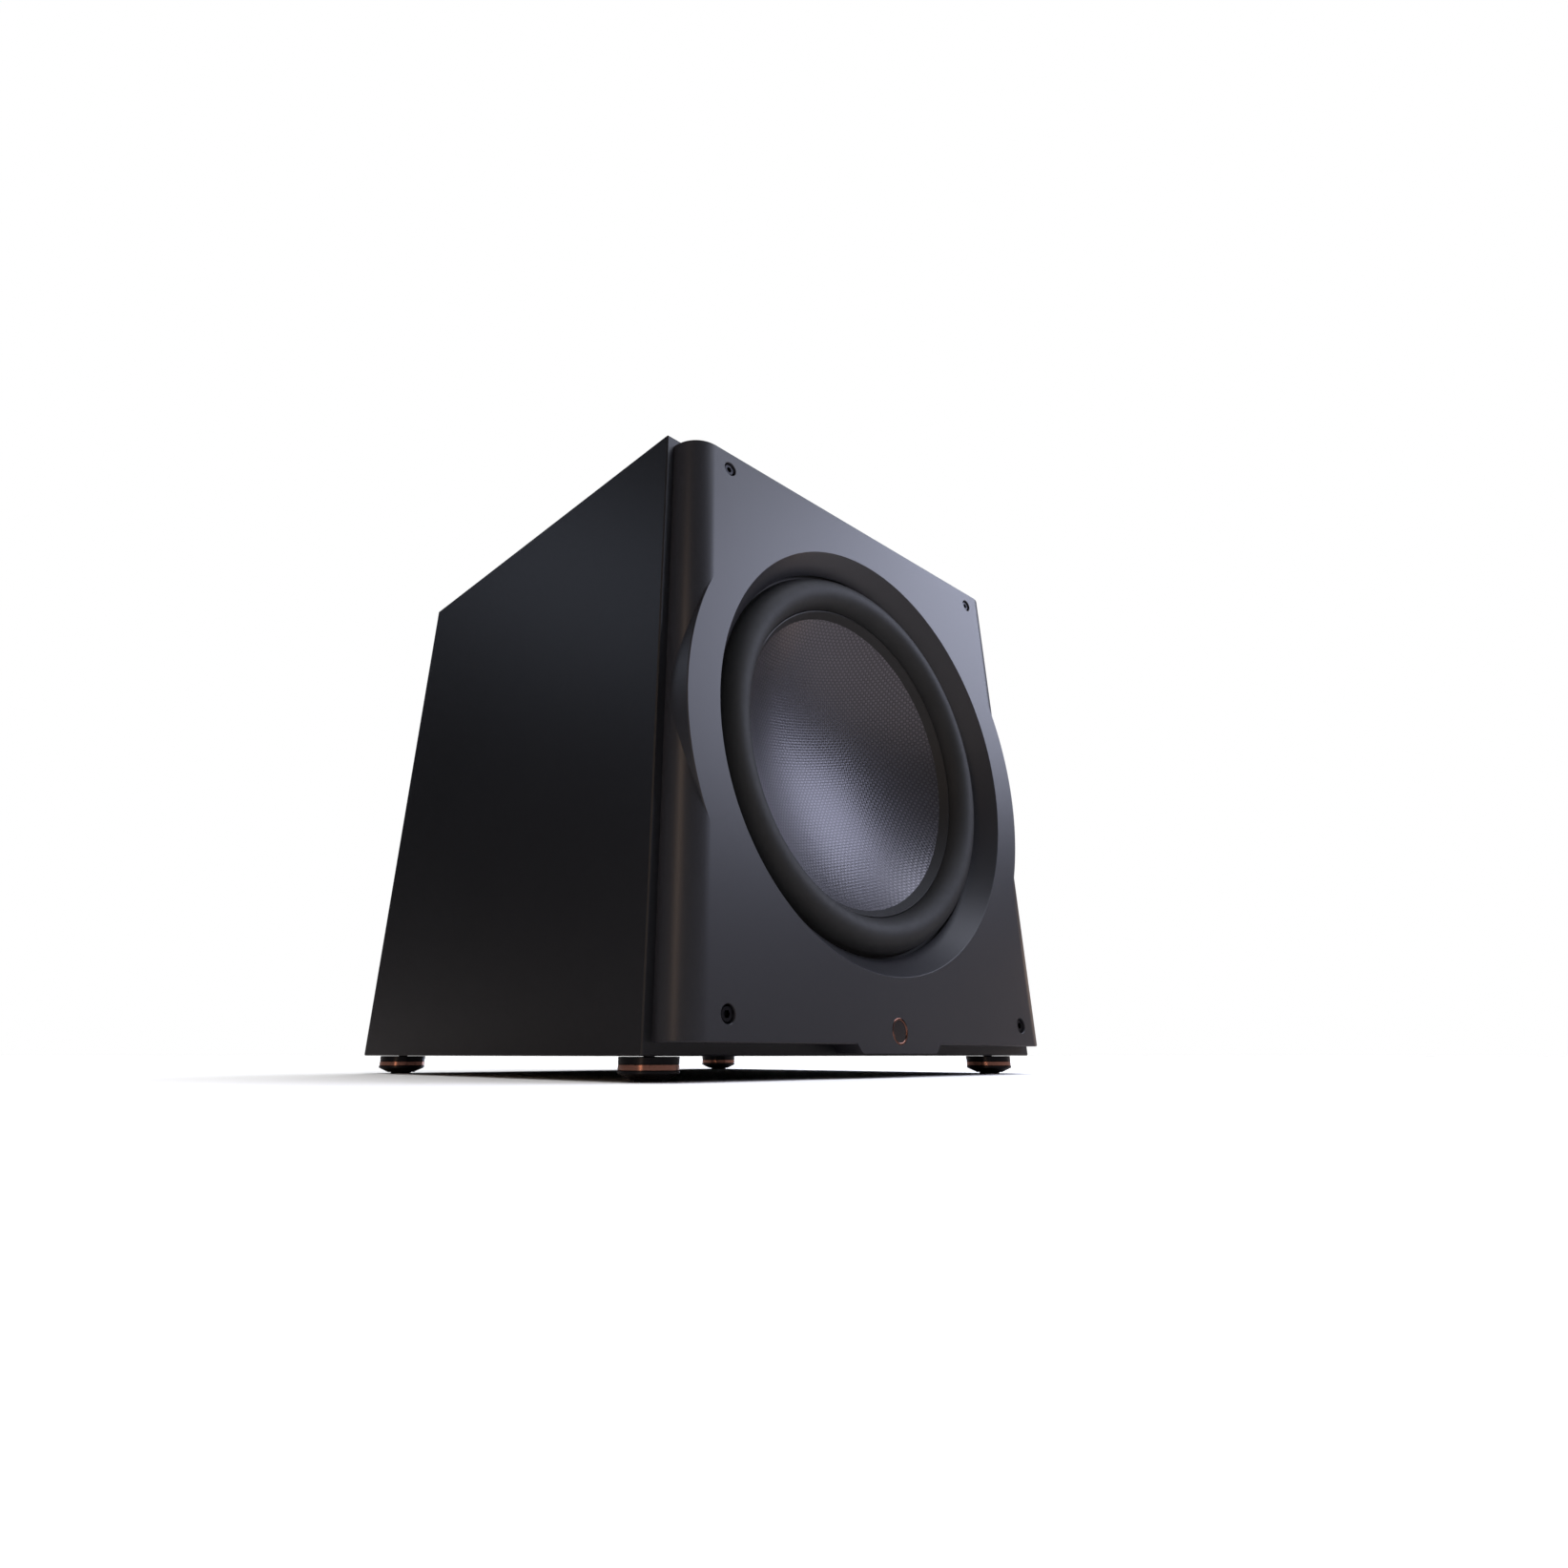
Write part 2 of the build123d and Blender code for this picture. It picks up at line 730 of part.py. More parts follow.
def dish_y(sphere_radius, radius):
    """Where a sphere about the dish's centre lies at a distance from the driver's axis."""
    return dish_centre + sqrt(sphere_radius**2 - radius**2)


with BuildPart() as cone:
    with BuildSketch(driver_plane):
        with BuildLine():
            ThreePointArc(
                (0, dish_y(dish_radius, 0)),
                (cone_edge_radius / 2, dish_y(dish_radius, cone_edge_radius / 2)),
                (cone_edge_radius, face_y + cone_edge_depth),
            )
            Polyline(
                (cone_edge_radius, face_y + cone_edge_depth),
                (rim_outer_radius, face_y + cone_edge_depth),
                (rim_outer_radius, rim_back),
                (rim_meets_dish, rim_back),
            )
            ThreePointArc(
                (rim_meets_dish, rim_back),
                (rim_meets_dish / 2, dish_y(dish_back_radius, rim_meets_dish / 2)),
                (0, dish_y(dish_back_radius, 0)),
            )
            Line((0, dish_y(dish_back_radius, 0)), (0, dish_y(dish_radius, 0)))
        make_face()
    revolve(axis=driver_axis)

ring_foot_radius = 2 * ring_lip_radius - surround_tongue - roll_inner
cone_ring = turned(
    [
        (cone_edge_radius, cone_edge_depth),
        (ring_foot_radius - 2 * glue_fit, cone_edge_depth),
        (ring_foot_radius - 2 * glue_fit, inner_foot_front),
        (ring_lip_radius, inner_foot_front),
        (ring_lip_radius, ring_lip_depth + ring_lip_width / 3),
        (ring_lip_radius - ring_lip_width / 3, ring_lip_depth),
        (ring_lip_radius - ring_lip_width, ring_lip_depth),
    ]
)
former_front = dish_y(dish_back_radius, coil_radius) - face_y + glue_fit
voice_coil_former = turned_ring(coil_radius, coil_radius + former_wall, former_front, former_back)
voice_coil_winding = turned_ring(
    coil_radius + former_wall + glue_fit,
    coil_outer_radius,
    winding_front,
    winding_back,
)

# ---- Feet ----
foot_top = foot_height - foot_gap
band_top = foot_height - foot_upper_height
band_bottom = band_top - foot_band_height
cone_top = band_bottom - foot_lower_height
cone_slope = (foot_lower_radius - foot_pad_radius) / cone_top
cone_bottom_radius = foot_pad_radius + cone_slope * foot_pad_stand
band_inner_radius = foot_upper_radius - foot_band_wall
foot_parts = {}
for corner, (foot_x, foot_y) in foot_centres.items():
    foot_axis = Axis((foot_x, foot_y, 0), (0, 0, 1))
    foot_plane = Plane(origin=(foot_x, foot_y, 0), x_dir=(1, 0, 0), z_dir=(0, -1, 0))
    with BuildPart() as foot:
        with BuildSketch(foot_plane):
            with BuildLine():
                Polyline(
                    (0, foot_pad_thickness),
                    (foot_pad_radius + glue_fit, foot_pad_thickness),
                    (foot_pad_radius + glue_fit, foot_pad_stand),
                    (cone_bottom_radius, foot_pad_stand),
                    (foot_lower_radius, cone_top),
                    (foot_lower_radius, band_bottom - foot_edge),
                    (foot_lower_radius - foot_edge, band_bottom),
                    (band_inner_radius, band_bottom),
                    (band_inner_radius, band_top),
                    (foot_upper_radius - foot_edge, band_top),
                    (foot_upper_radius, band_top + foot_edge),
                    (foot_upper_radius, foot_top - foot_edge),
                    (foot_upper_radius - foot_edge, foot_top),
                    (foot_stud_radius, foot_top),
                    (foot_stud_radius, foot_height + foot_stud_length),
                    (0, foot_height + foot_stud_length),
                    close=True,
                )
            make_face()
        revolve(axis=foot_axis)
    with BuildPart() as foot_band:
        with BuildSketch(Plane.XY.offset(band_bottom)):
            with Locations((foot_x, foot_y)):
                Circle(foot_upper_radius)
                Circle(band_inner_radius + glue_fit, mode=Mode.SUBTRACT)
        extrude(amount=foot_band_height)
    with BuildPart() as foot_pad:
        with BuildSketch(Plane.XY):
            with Locations((foot_x, foot_y)):
                Circle(foot_pad_radius)
        extrude(amount=foot_pad_thickness)
    foot_parts[f"foot_{corner}"] = foot
    foot_parts[f"foot_band_{corner}"] = foot_band
    foot_parts[f"foot_pad_{corner}"] = foot_pad

with BuildPart() as foot_inserts:
    with BuildSketch(Plane.XY.offset(foot_height)):
        with Locations(*foot_centres.values()):
            Circle(foot_insert_radius - glue_fit)
            Circle(foot_stud_radius + thread_clearance, mode=Mode.SUBTRACT)
    extrude(amount=insert_length)

# ---- Amplifier plate, gasket and screws ----
inlet_spot = (inlet_x, amp_z + inlet_z)
switch_spot = (switch_x, amp_z + switch_z)
knob_spot = (knob_x, amp_z + knob_z)
display_spot = (display_x, amp_z + display_z)
phono_spots = [(x, amp_z + socket_z) for x in phono_x]
trigger_spot = (trigger_x, amp_z + socket_z)
inlet_width = inlet_cavity[0] + 2 * inlet_wall
inlet_height = inlet_cavity[1] + 2 * inlet_wall
switch_width = switch_cavity[0] + 2 * switch_wall
switch_height = switch_cavity[1] + 2 * switch_wall
trigger_tail_radius = trigger_radius - trigger_shoulder

with BuildPart() as amp_plate:
    with BuildSketch(across(plate_face)):
        with Locations((0, amp_z)):
            RectangleRounded(amp_width - 2 * amp_fit, amp_height - 2 * amp_fit, amp_corner - amp_fit)
        with Locations(inlet_spot):
            Rectangle(inlet_width + 2 * amp_fit, inlet_height + 2 * amp_fit, mode=Mode.SUBTRACT)
        with Locations(switch_spot):
            Rectangle(switch_width + 2 * amp_fit, switch_height + 2 * amp_fit, mode=Mode.SUBTRACT)
        with Locations(display_spot):
            RectangleRounded(display_size[0], display_size[1], display_corner, mode=Mode.SUBTRACT)
        with Locations(knob_spot):
            Circle(bushing_radius + glue_fit, mode=Mode.SUBTRACT)
        with Locations(*phono_spots):
            Circle(phono_barrel_radius + glue_fit, mode=Mode.SUBTRACT)
        with Locations(trigger_spot):
            Circle(trigger_tail_radius + glue_fit, mode=Mode.SUBTRACT)
        with Locations(*amp_screw_points):
            Circle(amp_screw[2] + screw_clearance, mode=Mode.SUBTRACT)
    extrude(amount=amp_plate_thickness)

with BuildPart() as amp_gasket:
    with BuildSketch(across(plate_back)):
        with Locations((0, amp_z)):
            RectangleRounded(amp_width - 2 * amp_fit, amp_height - 2 * amp_fit, amp_corner - amp_fit)
            RectangleRounded(amp_inner_width, amp_inner_height, amp_corner, mode=Mode.SUBTRACT)
        with Locations(*amp_screw_points):
            Circle(amp_screw[2] + screw_clearance, mode=Mode.SUBTRACT)
    extrude(amount=amp_gasket_thickness)

amp_screws = socket_screws(
    amp_screw_points,
    plate_face + amp_screw[1],
    -1,
    amp_screw,
    amp_screw_length - screw_tip_gap,
)

# ---- Amplifier electronics on the inner side of the plate ----
spreader_spot = (spreader_x, amp_z + spreader_z)
supply_spot = (supply_x, amp_z + supply_z)
spreader_front = plate_back - spreader_thickness
amp_board_back = spreader_front - board_gap
supply_board_back = plate_back - board_gap - spreader_thickness

with BuildPart() as heat_spreader:
    with BuildSketch(across(plate_back)):
        with Locations(spreader_spot):
            Rectangle(spreader_width, spreader_height)
    extrude(amount=spreader_thickness)

# Each board is a thin sheet with its larger components standing on the side away from the plate.
with BuildPart() as amplifier_board:
    with BuildSketch(across(amp_board_back)):
        with Locations(spreader_spot):
            Rectangle(spreader_width - 2 * board_margin, spreader_height - 2 * board_margin)
    extrude(amount=board_thickness)
    with BuildSketch(across(amp_board_back - board_thickness)):
        with Locations(spreader_spot):
            with GridLocations(spreader_width / 2, 1, 2, 1):
                Rectangle(spreader_width / 5, spreader_height / 5)
            with GridLocations(spreader_width / 5, 2 * spreader_height / 3, 4, 2):
                Circle(output_coil_radius)
    extrude(amount=output_part_height)

with BuildPart() as power_supply_board:
    with BuildSketch(across(supply_board_back)):
        with Locations(supply_spot):
            Rectangle(supply_width, supply_height)
    extrude(amount=board_thickness)
    with BuildSketch(across(supply_board_back - board_thickness)):
        with Locations(supply_spot):
            Rectangle(supply_width / 4, supply_height / 2)
            with GridLocations(2 * supply_width / 3, supply_height / 2, 2, 2):
                Circle(supply_capacitor_radius)
    extrude(amount=supply_part_height)

with BuildPart() as board_standoffs:
    with BuildSketch(across(spreader_front)):
        with Locations(spreader_spot):
            with GridLocations(spreader_width - 4 * board_margin, spreader_height - 4 * board_margin, 2, 2):
                Circle(standoff_radius)
    extrude(amount=board_gap)
    with BuildSketch(across(plate_back)):
        with Locations(supply_spot):
            with GridLocations(supply_width - 2 * board_margin, supply_height - 2 * board_margin, 2, 2):
                Circle(standoff_radius)
    extrude(amount=plate_back - supply_board_back)

# ---- Mains inlet ----
inlet_face = plate_face + inlet_flange_thickness
inlet_floor = inlet_face - inlet_cavity[2]
with BuildPart() as mains_inlet:
    with BuildSketch(across(inlet_face)):
        with Locations(inlet_spot):
            RectangleRounded(inlet_width + 2 * inlet_flange, inlet_height + 2 * inlet_flange, inlet_flange)
    extrude(amount=inlet_flange_thickness)
    with BuildSketch(across(plate_face)):
        with Locations(inlet_spot):
            Rectangle(inlet_width, inlet_height)
    extrude(amount=plate_face - inlet_floor + 2 * inlet_wall)
    with BuildSketch(across(inlet_face)):
        with Locations(inlet_spot):
            RectangleRounded(inlet_cavity[0], inlet_cavity[1], 2 * inlet_wall)
    extrude(amount=inlet_cavity[2], mode=Mode.SUBTRACT)

with BuildPart() as inlet_pins:
    with BuildSketch(across(inlet_floor)):
        with Locations(inlet_spot):
            with Locations(*inlet_pin_spots):
                Rectangle(inlet_pin[0], inlet_pin[1])
    extrude(amount=-inlet_pin[2])

# ---- Power switch: the rocker is drawn tilted to its off position ----
switch_face = plate_face + inlet_flange_thickness
switch_floor = switch_face - switch_cavity[2]
pivot_y = switch_face + rocker_stand - rocker_height
rocker_width = switch_cavity[0] - 2 * rocker_side_gap
pin_half = rocker_width / 2 + rocker_pin_reach
with BuildPart() as switch_housing:
    with BuildSketch(across(switch_face)):
        with Locations(switch_spot):
            RectangleRounded(
                switch_width + 2 * switch_flange,
                switch_height + 2 * switch_flange,
                switch_flange,
            )
    extrude(amount=inlet_flange_thickness)
    with BuildSketch(across(plate_face)):
        with Locations(switch_spot):
            Rectangle(switch_width, switch_height)
    extrude(amount=plate_face - switch_floor + switch_wall)
    with BuildSketch(across(switch_face)):
        with Locations(switch_spot):
            Rectangle(switch_cavity[0], switch_cavity[1])
    extrude(amount=switch_cavity[2], mode=Mode.SUBTRACT)
    with BuildSketch(Plane.YZ.offset(switch_x - pin_half - running_clearance)):
        with Locations((pivot_y, switch_spot[1])):
            Circle(rocker_pin_radius + running_clearance)
    extrude(amount=2 * (pin_half + running_clearance), mode=Mode.SUBTRACT)


def rocker_plane(x):
    """The rocker's own plane: x points out of the switch and y up, both tilted to the off position."""
    lean = radians(-rocker_tilt)
    return Plane(origin=(x, pivot_y, switch_spot[1]), x_dir=(0, cos(lean), sin(lean)), z_dir=(1, 0, 0))


with BuildPart() as power_rocker:
    valley = rocker_height - rocker_valley_depth
    rise = rocker_radius * tan(radians(rocker_v_angle))
    with BuildSketch(rocker_plane(switch_x - rocker_width / 2)):
        Circle(rocker_radius)
        with BuildLine():
            Polyline(
                (-rocker_radius / 2, -rocker_radius),
                (valley + rise, -rocker_radius),
                (valley, 0),
                (valley + rise, rocker_radius),
                (-rocker_radius / 2, rocker_radius),
                close=True,
            )
        make_face(mode=Mode.INTERSECT)
    extrude(amount=rocker_width)
    with BuildSketch(rocker_plane(switch_x - pin_half)):
        Circle(rocker_pin_radius)
    extrude(amount=2 * pin_half)

# ---- Control knob on a push encoder ----
bushing_face = plate_face + bushing_length
bore_floor = plate_back - encoder_depth + encoder_floor
plunger_back = bore_floor + push_travel + body_gap
shaft_back = plunger_back + plunger_length + body_gap
knob_back = plate_face + knob_gap
knob_face = knob_back + knob_length
knob_bore_floor = knob_face - knob_length / 4
with BuildPart() as encoder_body:
    with BuildSketch(across(plate_back)):
        with Locations(knob_spot):
            Rectangle(encoder_side, encoder_side)
    extrude(amount=encoder_depth)
    with BuildSketch(across(bushing_face)):
        with Locations(knob_spot):
            Circle(bushing_radius)
    extrude(amount=bushing_face - plate_back)
    with BuildSketch(across(bushing_face)):
        with Locations(knob_spot):
            Circle(shaft_radius + running_clearance)
    extrude(amount=bushing_face - bore_floor, mode=Mode.SUBTRACT)

with BuildPart() as encoder_plunger:
    with BuildSketch(across(plunger_back)):
        with Locations(knob_spot):
            Circle(shaft_radius)
    extrude(amount=-plunger_length)

with BuildPart() as encoder_shaft:
    with BuildSketch(across(shaft_back)):
        with Locations(knob_spot):
            Circle(shaft_radius)
    extrude(amount=shaft_back - knob_bore_floor + glue_fit)

with BuildPart() as control_knob:
    with BuildSketch(across(knob_face)):
        with Locations(knob_spot):
            Circle(knob_radius)
            with PolarLocations(knob_radius, knob_flute_count):
                Circle(knob_flute_radius, mode=Mode.SUBTRACT)
    extrude(amount=knob_length)
    # A stepped bore: wide over the bushing, and close round the shaft.
    with BuildSketch(across(knob_bore_floor)):
        with Locations(knob_spot):
            Circle(shaft_radius + running_clearance)
    extrude(amount=knob_bore_floor - knob_back, mode=Mode.SUBTRACT)
    with BuildSketch(across(bushing_face + push_travel + body_gap)):
        with Locations(knob_spot):
            Circle(bushing_radius + 2 * body_gap)
    extrude(amount=bushing_face + push_travel + body_gap - knob_back, mode=Mode.SUBTRACT)
    # The face is turned down a little inside the flutes.
    with BuildSketch(across(knob_face)):
        with Locations(knob_spot):
            Circle(knob_radius - 2 * knob_flute_radius)
            Circle(knob_radius - 3 * knob_flute_radius, mode=Mode.SUBTRACT)
    extrude(amount=knob_edge, mode=Mode.SUBTRACT)

with BuildPart() as display_window:
    with BuildSketch(across(plate_face)):
        with Locations(display_spot):
            RectangleRounded(
                display_size[0] - 2 * glue_fit,
                display_size[1] - 2 * glue_fit,
                display_corner - glue_fit,
            )
    extrude(amount=display_size[2])

# ---- Phono and trigger sockets ----
phono_end = plate_face + phono_barrel_length
phono_bore_radius = phono_barrel_radius - phono_wall
phono_bore_depth = phono_barrel_length + socket_tail / 2
with BuildPart() as phono_shells:
    with BuildSketch(across(phono_end)):
        with Locations(*phono_spots):
            Circle(phono_barrel_radius)
    extrude(amount=phono_barrel_length + socket_tail)
    with BuildSketch(across(plate_face + phono_flange_thickness)):
        with Locations(*phono_spots):
            Circle(phono_flange_radius)
    extrude(amount=phono_flange_thickness)
    with BuildSketch(across(phono_end)):
        with Locations(*phono_spots):
            Circle(phono_bore_radius)
    extrude(amount=phono_bore_depth, mode=Mode.SUBTRACT)

with BuildPart() as phono_insulators:
    with BuildSketch(across(phono_end - body_gap)):
        with Locations(*phono_spots):
            Circle(phono_bore_radius - glue_fit)
    extrude(amount=phono_bore_depth - body_gap)
    with BuildSketch(across(phono_end - body_gap)):
        with Locations(*phono_spots):
            Circle(phono_contact_radius)
    extrude(amount=phono_contact_depth, mode=Mode.SUBTRACT)

with BuildPart() as trigger_socket:
    with BuildSketch(across(plate_face + trigger_length)):
        with Locations(trigger_spot):
            RegularPolygon(trigger_radius, 6)
    extrude(amount=trigger_length)
    with BuildSketch(across(plate_face)):
        with Locations(trigger_spot):
            Circle(trigger_tail_radius)
    extrude(amount=amp_plate_thickness + socket_tail)
    with BuildSketch(across(plate_face + trigger_length)):
        with Locations(trigger_spot):
            Circle(trigger_bore_radius)
    extrude(amount=trigger_bore_depth, mode=Mode.SUBTRACT)

# ---- The cable from the amplifier board to the driver's terminals ----
cable_start = (0, face_y + terminal_front + terminal_length / 2, terminal_bottom)
cable_end = (spreader_x, amp_board_back - board_thickness, amp_z + spreader_z)
brace_front = face_y + brace_depth
brace_back = brace_front + brace_thickness
cable_turn = cable_start[1] + cable_run_back
cable_way_y = (cable_start[1], cable_turn, (cable_turn + brace_front) / 2, (brace_front + brace_back) / 2)
cable_points = [cable_start]
for (way_x, way_drop), way_y in zip(cable_way, cable_way_y):
    cable_points.append((way_x, way_y, terminal_bottom - way_drop))
cable_points += [
    (cable_end[0] - cable_approach, brace_back + cable_run_past_brace, terminal_bottom),
    (cable_end[0], cable_end[1] - cable_run_to_board, cable_end[2]),
    cable_end,
]


def bend_radii(points):
    """The widest arc that each corner of a route has room for."""
    radii = []
    for before, corner, after in zip(points, points[1:], points[2:]):
        run_in = Vector(*corner) - Vector(*before)
        run_out = Vector(*after) - Vector(*corner)
        half_turn = radians(run_in.get_angle(run_out)) / 2
        radii.append(cable_bend_share * min(run_in.length, run_out.length) / tan(half_turn))
    return radii


with BuildPart() as driver_cable:
    with BuildLine() as cable_route:
        FilletPolyline(*cable_points, radius=bend_radii(cable_points))
    with BuildSketch(Plane(origin=cable_route.line @ 0, z_dir=cable_route.line % 0)):
        Circle(cable_radius)
    sweep()

# ---- One STEP file for each piece ----
pieces = {
    "left_side_panel": left_side_panel,
    "right_side_panel": right_side_panel,
    "top_panel": top_panel,
    "bottom_panel": bottom_panel,
    "front_panel": front_panel,
    "rear_panel": rear_panel,
    "window_brace": window_brace,
    "damping_wadding": damping_wadding,
    "front_baffle": front_baffle,
    "baffle_screws": baffle_screws,
    "baffle_inserts": baffle_inserts,
    "badge_rim": badge_rim,
    "badge_disc": badge_disc,
    "driver_basket": driver_basket,
    "driver_gasket": driver_gasket,
    "driver_screws": driver_screws,
    "surround": surround,
    "cone_ring": cone_ring,
    "cone": cone,
    "spider": spider,
    "voice_coil_former": voice_coil_former,
    "voice_coil_winding": voice_coil_winding,
    "top_plate": top_plate,
    "magnet_rings": magnet_rings,
    "pole_yoke": pole_yoke,
    "shorting_ring": shorting_ring,
    "terminal_strip": terminal_strip,
    "driver_cable": driver_cable,
    "foot_inserts": foot_inserts,
    "amp_plate": amp_plate,
    "amp_gasket": amp_gasket,
    "amp_screws": amp_screws,
    "heat_spreader": heat_spreader,
    "amplifier_board": amplifier_board,
    "power_supply_board": power_supply_board,
    "board_standoffs": board_standoffs,
    "mains_inlet": mains_inlet,
    "inlet_pins": inlet_pins,
    "switch_housing": switch_housing,
    "power_rocker": power_rocker,
    "encoder_body": encoder_body,
    "encoder_plunger": encoder_plunger,
    "encoder_shaft": encoder_shaft,
    "control_knob": control_knob,
    "display_window": display_window,
    "phono_shells": phono_shells,
    "phono_insulators": phono_insulators,
    "trigger_socket": trigger_socket,
    **foot_parts,
}
os.makedirs("parts", exist_ok=True)
for name, piece in pieces.items():
    piece.part.label = name
    export_step(piece.part, f"parts/{name}.step")
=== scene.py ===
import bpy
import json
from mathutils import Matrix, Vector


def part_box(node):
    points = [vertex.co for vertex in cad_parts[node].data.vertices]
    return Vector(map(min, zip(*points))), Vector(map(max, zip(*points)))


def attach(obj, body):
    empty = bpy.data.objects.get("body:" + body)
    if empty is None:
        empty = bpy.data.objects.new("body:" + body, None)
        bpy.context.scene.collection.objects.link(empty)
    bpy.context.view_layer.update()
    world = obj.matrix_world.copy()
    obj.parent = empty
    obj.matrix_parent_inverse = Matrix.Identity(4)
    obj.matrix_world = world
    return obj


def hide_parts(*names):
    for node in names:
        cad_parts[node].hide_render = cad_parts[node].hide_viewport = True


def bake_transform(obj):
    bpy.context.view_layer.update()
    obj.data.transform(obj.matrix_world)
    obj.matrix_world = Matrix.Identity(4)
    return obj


bl_info = {
    "name": "Subwoofer Finish",
    "version": (1, 0, 0),
    "blender": (4, 5, 0),
    "location": "View3D > Sidebar > Subwoofer",
    "description": "Dresses a packed subwoofer with its soft parts, turned parts, finishes and studio",
    "category": "Object",
}

import json
from math import cos, isclose, pi, radians, sin, sqrt

import bmesh
import bpy
from bpy.props import FloatProperty, FloatVectorProperty, IntProperty, PointerProperty
from mathutils import Vector

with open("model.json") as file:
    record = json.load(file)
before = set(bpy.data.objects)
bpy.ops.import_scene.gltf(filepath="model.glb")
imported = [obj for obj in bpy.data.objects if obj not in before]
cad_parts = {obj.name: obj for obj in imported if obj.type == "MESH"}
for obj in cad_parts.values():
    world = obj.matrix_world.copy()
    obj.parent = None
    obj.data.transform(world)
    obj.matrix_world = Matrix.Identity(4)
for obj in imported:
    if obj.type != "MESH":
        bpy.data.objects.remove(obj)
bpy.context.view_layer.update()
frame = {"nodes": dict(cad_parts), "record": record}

MM = 0.001
FULL_TURN = 2 * pi
# Edges that turn by more than this are drawn sharp.
SHARP_ANGLE = radians(35.0)
WELD_DISTANCE = 1e-7

BODY = "cabinet"
CONE_BODY = "cone_assembly"
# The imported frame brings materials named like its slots, so the ones made here end differently.
FINISH_SUFFIX = "_finish"


# ---------------------------------------------------------------- the frame's own places
def middle(node):
    """The centre of a node's box."""
    low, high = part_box(node)
    return (Vector(low) + Vector(high)) / 2


def half_width(node):
    """Half of a round node's width across X."""
    low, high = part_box(node)
    return (high[0] - low[0]) / 2


DRIVER_X = middle("cone").x
DRIVER_Z = middle("cone").z
FACE_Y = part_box("front_panel")[0][1]


# ---------------------------------------------------------------- settings a user would change
class SubwooferSizes(bpy.types.PropertyGroup):
    """Sizes of the pieces that are made here."""

    roll_middle: FloatProperty(
        name="Roll middle radius",
        description="Distance from the driver's axis to the crest of the surround's roll",
        default=161.5 * MM,
        unit="LENGTH",
    )
    roll_half_width: FloatProperty(
        name="Roll half width",
        description="Half of the width of the surround's roll at its base",
        default=16.1 * MM,
        unit="LENGTH",
    )
    roll_height: FloatProperty(
        name="Roll height",
        description="How far the roll stands out from the driver's flange",
        default=18.6 * MM,
        unit="LENGTH",
    )
    rubber: FloatProperty(
        name="Rubber thickness",
        description="Wall of the surround",
        default=2.6 * MM,
        unit="LENGTH",
    )
    dish_depth: FloatProperty(
        name="Cone depth",
        description="Depth of the concave cone from its edge to its middle",
        default=50.0 * MM,
        unit="LENGTH",
    )
    tow_pitch: FloatProperty(
        name="Tow pitch",
        description="Width of one woven tow of the cone's cloth",
        default=2.7 * MM,
        unit="LENGTH",
    )
    weave_turn: FloatProperty(
        name="Weave turn",
        description="How far the cloth is turned about the driver's axis",
        default=radians(13.0),
        subtype="ANGLE",
    )
    gores: IntProperty(
        name="Gores",
        description="Number of sectors of the surround, so that each flexes outwards from the cone",
        default=24,
    )


class SubwooferColours(bpy.types.PropertyGroup):
    """Colours of the main finishes."""

    cabinet: FloatVectorProperty(
        name="Cabinet",
        description="Lacquer on the cabinet's boards",
        default=(0.0052, 0.0056, 0.0075),
        subtype="COLOR",
        size=3,
    )
    baffle: FloatVectorProperty(
        name="Baffle",
        description="Lacquer on the front baffle",
        default=(0.014, 0.014, 0.017),
        subtype="COLOR",
        size=3,
    )
    rubber: FloatVectorProperty(
        name="Rubber",
        description="Surround and foot pads",
        default=(0.012, 0.012, 0.012),
        subtype="COLOR",
        size=3,
    )
    tow: FloatVectorProperty(
        name="Carbon tow",
        description="Woven cloth of the cone",
        default=(0.058, 0.056, 0.062),
        subtype="COLOR",
        size=3,
    )
    copper: FloatVectorProperty(
        name="Copper",
        description="Rose-gold bands and badge rim",
        default=(0.34, 0.165, 0.12),
        subtype="COLOR",
        size=3,
    )


# ---------------------------------------------------------------- mesh helpers
def new_object(name, mesh):
    piece = bpy.data.objects.new(name, mesh)
    bpy.context.scene.collection.objects.link(piece)
    return piece


def finish_mesh(bm, name):
    """Turns a bmesh into an object with smooth faces and sharp edges."""
    bmesh.ops.recalc_face_normals(bm, faces=bm.faces)
    mesh = bpy.data.meshes.new(name)
    bm.to_mesh(mesh)
    bm.free()
    mesh.shade_smooth()
    mesh.set_sharp_from_angle(angle=SHARP_ANGLE)
    return new_object(name, mesh)


def lathe(name, outline, place, steps, start=0.0, sweep=FULL_TURN):
    """A closed outline of (radius, along) turned about the line along Y through place."""
    bm = bmesh.new()
    whole = isclose(sweep, FULL_TURN)
    rows = steps if whole else steps + 1
    rings = []
    for row in range(rows):
        angle = start + sweep * row / steps
        ring = []
        for radius, along in outline:
            spot = (radius * cos(angle), along, radius * sin(angle))
            ring.append(bm.verts.new(Vector(place) + Vector(spot)))
        rings.append(ring)
    count = len(outline)
    for row in range(steps):
        here, there = rings[row], rings[(row + 1) % rows]
        for index in range(count):
            after = (index + 1) % count
            bm.faces.new((here[index], here[after], there[after], there[index]))
    if not whole:
        bm.faces.new(rings[0])
        bm.faces.new(rings[-1])
    bmesh.ops.remove_doubles(bm, verts=bm.verts, dist=WELD_DISTANCE)
    return finish_mesh(bm, name)


def arc(centre, radii, first, last, steps):
    """Points on an ellipse about centre, from one angle to another in degrees."""
    points = []
    for step in range(steps + 1):
        angle = radians(first + (last - first) * step / steps)
        points.append((centre[0] + radii[0] * cos(angle), centre[1] + radii[1] * sin(angle)))
    return points


